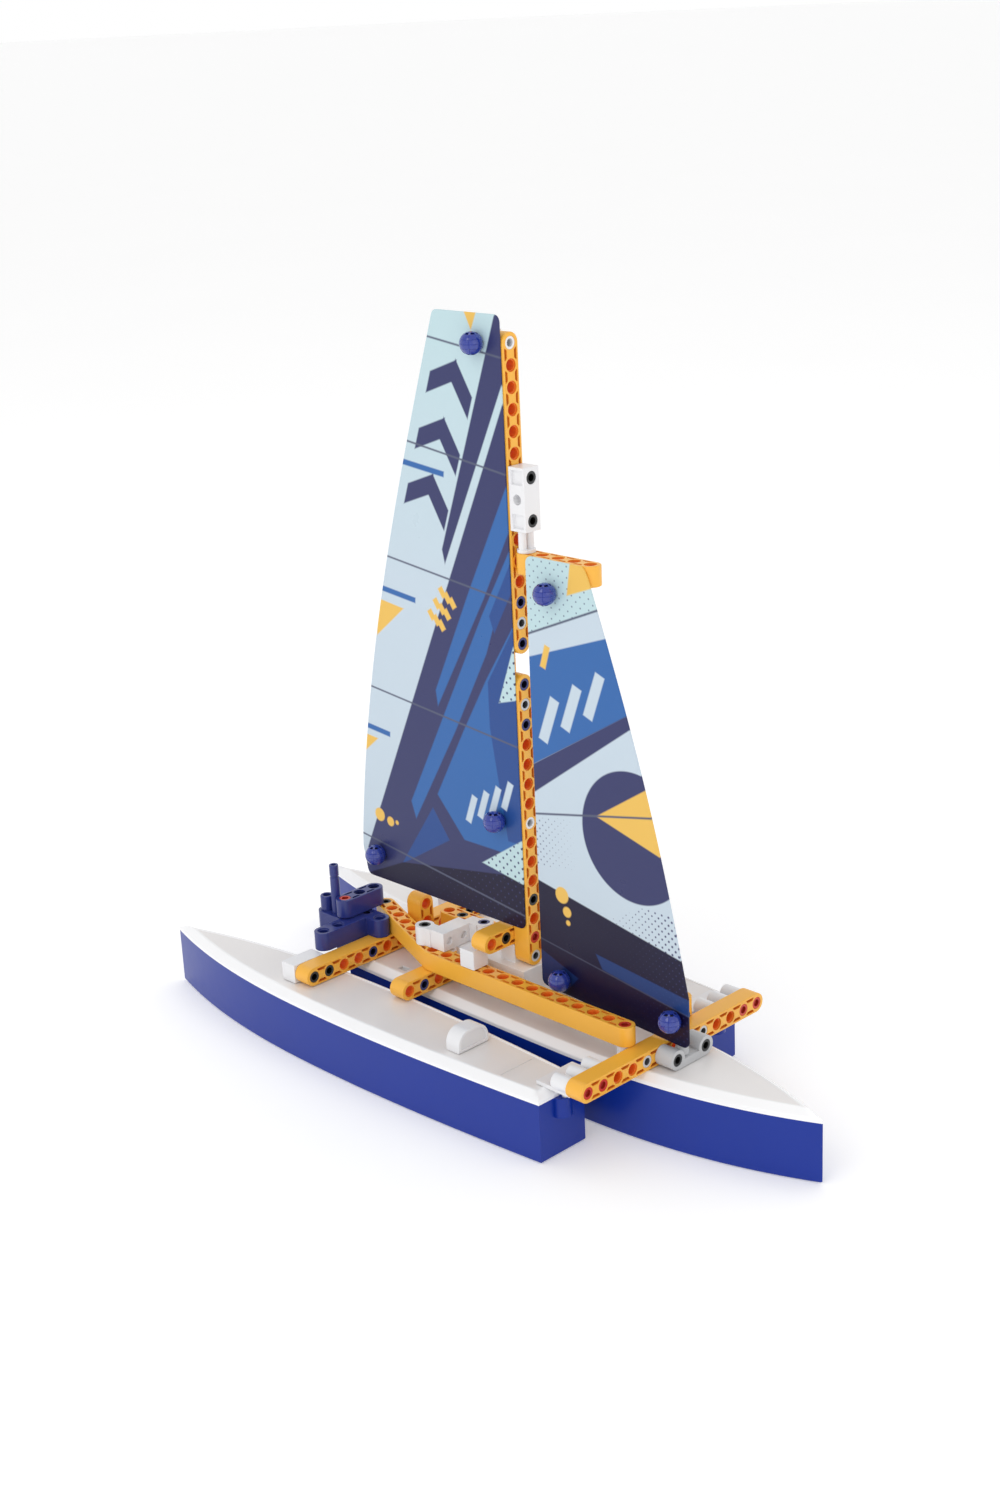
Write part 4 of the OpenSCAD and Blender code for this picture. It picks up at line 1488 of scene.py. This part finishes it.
JIB_HEAD = (-8, 18.8), (-3.8, 20.5)
JIB_UPPER = (
    ("yellow", (-5.5, 21.0), (-3.6, 21.7), (-4.3, 22.8), (-5.2, 22.8)),
    ("mid", (-8.4, 12.2), (-1.6, 16.2), (-3.0, 19.45), (-8.4, 17.57)),
)
JIB_BAND = (-8.4, 10.75), (-1.6, 15.55), (-1.6, 16.25), (-8.4, 12.2)
JIB_WEDGE = (-4.1, 10.7), (0.2, 9.5), (0.2, 13.45)
JIB_SEAMS = ((-8.05, 9.9), (-0.7, 11.4)), ((-8.05, 18.8), (-3.8, 20.55))
JIB_LUFF_SCREEN = (-4.0, 5.5), (1.6, 4.6), (1.6, 8.4), (-1.2, 6.9), (-3.2, 6.9)
JIB_LEECH_SCREEN = (-8.4, 7.2), (-5.6, 7.6), (-5.6, 10.2), (-8.4, 9.6)
JIB_FOOT = (-8.4, 6.57), (1.6, 4.7)
JIB_FOOT_SEAM = (-8.05, 3.45), (1.0, 2.2)
JIB_SHADES = (
    (0.6, (-4.0, 2.95), (1.6, 2.1), (1.6, 2.95), (-4.4, 3.65)),
    (0.35, (-8.4, 0.2), (-7.2, 0.2), (-5.6, 2.0), (-8.4, 3.0)),
)
JIB_DISCS = (-6.5, 6.1, 0.42), (-6.2, 5.3, 0.27), (-6.15, 4.75, 0.14)


def jib_print(colours):
    """A blue field with pale strokes, a slate disc with a yellow wedge, and a dark foot"""
    art = Print("Jib print", tuple(colours.pale))
    head = art.above(*JIB_HEAD)
    art.paint(colours.pale_top, head)
    art.paint(colours.slate, head * art.dots(COARSE, 0.055) * 0.8)
    art.fields(colours, JIB_UPPER)
    art.bars(colours.pale, (-7.35, 13.7), (1.45, 0.85), 3, (0.85, 2.2), 0.3)
    art.paint(colours.slate, art.shape(*JIB_BAND))
    art.paint(colours.yellow, art.bar((-7.2, 17.3), (-6.85, 18.4), 0.18))
    art.paint(colours.slate, art.disc((-1.8, 10.15), 3.2))
    art.paint(colours.yellow, art.shape(*JIB_WEDGE))
    for start, end in JIB_SEAMS:
        art.paint(colours.seam, art.line(start, end, 0.05))
    fade = (art.x + 4.5) / 4.5
    screen = art.shape(*JIB_LUFF_SCREEN)
    art.paint(colours.slate, screen * art.dots(FINE, 0.075, fade.most(0)))
    fade = (-5.5 - art.x) / 2.5
    screen = art.shape(*JIB_LEECH_SCREEN)
    art.paint(colours.slate, screen * art.dots(FINE, 0.06, fade.most(0)) * 0.8)
    foot = art.soft(-art.edge(*JIB_FOOT))
    art.paint(colours.navy, foot)
    fade = (art.x + 3.0) / 4
    art.paint(colours.slate, foot * art.dots(FINE, 0.05, fade.most(0)) * 0.8)
    for share, *corners in JIB_SHADES:
        art.paint(colours.mid_deep, art.shape(*corners) * share)
    art.paint(colours.seam, art.line(*JIB_FOOT_SEAM, 0.03) * foot * 0.6)
    art.discs(colours.yellow, JIB_DISCS)
    return art.finish()


BOW_STEPS = 40
SHEET_EDGE = 0.12 * MM
SHEET_CORNER = 0.35
SHEET_HOLE = 2.8 * MM
MAIN_HEAD, MAIN_CLEW = (-12.9, 33.3), (-20.4, 5.05)
MAIN_LUFF = (-20.1, 3.55), (-8.6, 3.55), (-8.6, 33.3)
MAIN_HOLES = [(-10, 32), (-10, 9), (-19, 5)]
LEECH_BOW, LEECH_SKEW = -1, 0.85
JIB_TACK, JIB_TOP = (1.8, 3), (-3.7, 22)
JIB_LOW = (-7.55, 1), (1.8, 0.46)
JIB_HIGH = (-3.95, 22.5), (-7.55, 22.5)
JIB_BOW = 0.42
JIB_LEECH_HOLE_X, JIB_TACK_HOLE_X = -6, 1


def bowed(start, end, bulge, skew, share):
    """A point on the bowed edge of a sail"""
    bow = bulge * math.sin(math.pi * share ** skew)
    x, z = (a + (b - a) * share for a, b in zip(start, end))
    return Vector((x + bow, z))


def sail_sheet(node, corners, holes, material):
    """A stiff sheet with rounded corners and edges, and a hole for each knob"""
    low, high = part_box(node)
    half = (high.y - low.y) / 2
    outline = [p * PITCH for p in rounded(corners, SHEET_CORNER)]
    bm = new_mesh()
    borders = bar_rings(bm, outline, half, SHEET_EDGE)
    levels = [(half, 0, 0), (half - SHEET_EDGE, SHEET_EDGE / 2, 0), (0, SHEET_EDGE / 2, 0)]
    for place in holes:
        hole = circle(Vector(place) * PITCH, SHEET_HOLE, 32)
        borders += opening(bm, hole, levels, closed=False)
    fill(bm, borders)
    mirrored(bm)
    middle = Vector((ORIGIN.x, (high.y + low.y) / 2, ORIGIN.z))
    bmesh.ops.transform(bm, matrix=frame_at(middle, AHEAD, (0, -1, 0)), verts=bm.verts)
    publish(bm, node, [material])


class TRIMARAN_OT_sails(bpy.types.Operator):
    """Build the two printed sail sheets"""

    bl_idname = "trimaran.sails"
    bl_label = "Sails"

    def execute(self, context):
        colours = context.scene.kit_colours
        shares = [k / BOW_STEPS for k in range(BOW_STEPS + 1)]
        leech = [bowed(MAIN_CLEW, MAIN_HEAD, LEECH_BOW, LEECH_SKEW, 1 - s) for s in shares]
        main = [Vector(p) for p in MAIN_LUFF] + leech
        sail_sheet("main_sail", main, MAIN_HOLES, main_print(colours))
        front = [bowed(JIB_TACK, JIB_TOP, JIB_BOW, 1, s) for s in shares]
        jib = [Vector(p) for p in JIB_LOW] + front + [Vector(p) for p in JIB_HIGH]
        holes = []
        for place, x in (
            ("head", JIB_LEECH_HOLE_X), ("foot", JIB_LEECH_HOLE_X), ("tack", JIB_TACK_HOLE_X),
        ):
            low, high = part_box("knob_jib_" + place)
            holes.append((x, ((low.z + high.z) / 2 - ORIGIN.z) / PITCH))
        sail_sheet("jib_sail", jib, holes, jib_print(colours))
        return {"FINISHED"}


# ---- Stage ----

FLOOR_SIZE, FLOOR_DROP, FLOOR_GLOW = 120, 0.2 * MM, (0.23, 0.23, 0.23)
SKY_SHADE = {"From Min": 0.12, "From Max": 0.55, "To Min": 1.0, "To Max": 0.74}
LIGHTS = (  # name, place, diameter, power
    ("Key", (0.3, -1.6, 1.7), 1.3, 6.0),
    ("Fill", (1.8, -0.4, 0.9), 1.2, 1.2),
    ("Top", (-0.4, 0.3, 2.0), 1.4, 3.4),
)
AIM = Vector((0, 0, 0.12))
LENS, SENSOR = 51.2, 36
CAMERA_PLACE = 0.7046, -0.6759, 0.5000
AZIMUTH, ELEVATION, ROLL = math.radians(45.999), math.radians(19.088), math.radians(-2.682)


class SkyShader(Shader):
    """The world's nodes, added by the same method as a material's"""

    def __init__(self, world):
        world.use_nodes = True
        self.tree = world.node_tree
        self.tree.nodes.clear()
        self.place = self.add("ShaderNodeTexCoord").outputs["Generated"]

    def finish(self):
        """White near the horizon, a little darker overhead"""
        height = self.axes()[2]
        strength = self.add("ShaderNodeMapRange", {}, {"Value": height, **SKY_SHADE}).outputs[0]
        white = {"Color": (1, 1, 1, 1), "Strength": strength}
        sky = self.add("ShaderNodeBackground", {}, white)
        self.add("ShaderNodeOutputWorld", {}, {"Surface": sky.outputs[0]})


def add_floor(scene):
    """A wide pale floor just below the hulls"""
    bm = bmesh.new()
    bmesh.ops.create_grid(bm, x_segments=2, y_segments=2, size=FLOOR_SIZE)
    bmesh.ops.translate(bm, vec=(0, 0, -FLOOR_DROP), verts=bm.verts)
    mesh = bpy.data.meshes.new("floor")
    bm.to_mesh(mesh)
    bm.free()
    floor = bpy.data.objects.new("floor", mesh)
    scene.collection.objects.link(floor)
    shader = Shader("Pale floor")
    cloud = shader.noise(3.0, 2.0)
    colour = shader.mix((0.93, 0.93, 0.93), (0.95, 0.95, 0.95), cloud)
    normal = shader.bump(cloud, 0.02, 0.1 * MM)
    gloss = 0.75 + cloud * 0.05
    mesh.materials.append(
        shader.finish(colour, gloss, normal, specular=0.2, glow=FLOOR_GLOW)
    )


def add_light(scene, name, place, diameter, power):
    """A round soft light that faces the boat"""
    light = bpy.data.lights.new(name, "AREA")
    light.shape = "DISK"
    light.size = diameter
    light.energy = power
    lamp = bpy.data.objects.new(name, light)
    scene.collection.objects.link(lamp)
    lamp.location = place
    lamp.rotation_euler = (AIM - Vector(place)).to_track_quat("-Z", "Y").to_euler()


def add_camera(scene):
    """A camera that looks down from ahead and to starboard, rolled a little"""
    data = bpy.data.cameras.new("Camera")
    data.lens = LENS
    data.sensor_width = SENSOR
    data.clip_start, data.clip_end = 0.01, 400
    camera = bpy.data.objects.new("Camera", data)
    scene.collection.objects.link(camera)
    back = Vector((
        math.sin(AZIMUTH) * math.cos(ELEVATION),
        -math.cos(AZIMUTH) * math.cos(ELEVATION),
        math.sin(ELEVATION),
    ))
    right = Vector((math.cos(AZIMUTH), math.sin(AZIMUTH), 0))
    up = back.cross(right)
    across = right * math.cos(ROLL) + up * math.sin(ROLL)
    upward = up * math.cos(ROLL) - right * math.sin(ROLL)
    turn = Matrix((across, upward, back)).transposed().to_4x4()
    camera.matrix_world = Matrix.Translation(CAMERA_PLACE) @ turn
    scene.camera = camera


class TRIMARAN_OT_stage(bpy.types.Operator):
    """Set the floor, the soft lights and the camera"""

    bl_idname = "trimaran.stage"
    bl_label = "Stage"

    def execute(self, context):
        scene = context.scene
        add_floor(scene)
        scene.world = bpy.data.worlds.new("Soft studio")
        SkyShader(scene.world).finish()
        for light in LIGHTS:
            add_light(scene, *light)
        scene.view_settings.view_transform = "Standard"
        add_camera(scene)
        return {"FINISHED"}


class TRIMARAN_PT_panel(bpy.types.Panel):
    """Lists the steps that build the trimaran"""

    bl_idname = "TRIMARAN_PT_panel"
    bl_label = "Sailing trimaran"
    bl_space_type = "VIEW_3D"
    bl_region_type = "UI"
    bl_category = "Trimaran"

    def draw(self, context):
        for step in STEPS:
            self.layout.operator(step.bl_idname)
        for settings in (context.scene.kit_sizes, context.scene.kit_colours):
            box = self.layout.box()
            for name in settings.__annotations__:
                box.prop(settings, name)


STEPS = (
    TRIMARAN_OT_stage,
    TRIMARAN_OT_hulls,
    TRIMARAN_OT_decks,
    TRIMARAN_OT_deck_hardware,
    TRIMARAN_OT_frame_beams,
    TRIMARAN_OT_mast,
    TRIMARAN_OT_blocks,
    TRIMARAN_OT_helm,
    TRIMARAN_OT_pins,
    TRIMARAN_OT_knobs,
    TRIMARAN_OT_sails,
)
CLASSES = (KitSizes, KitColours, *STEPS, TRIMARAN_PT_panel)


def register():
    for cls in CLASSES:
        bpy.utils.register_class(cls)
    bpy.types.Scene.kit_sizes = bpy.props.PointerProperty(type=KitSizes)
    bpy.types.Scene.kit_colours = bpy.props.PointerProperty(type=KitColours)


def unregister():
    del bpy.types.Scene.kit_colours
    del bpy.types.Scene.kit_sizes
    for cls in reversed(CLASSES):
        bpy.utils.unregister_class(cls)


def main():
    """Builds everything in order"""
    register()
    for step in STEPS:
        group, name = step.bl_idname.split(".")
        getattr(getattr(bpy.ops, group), name)()
    bpy.context.view_layer.update()


if __name__ == "__main__":
    main()
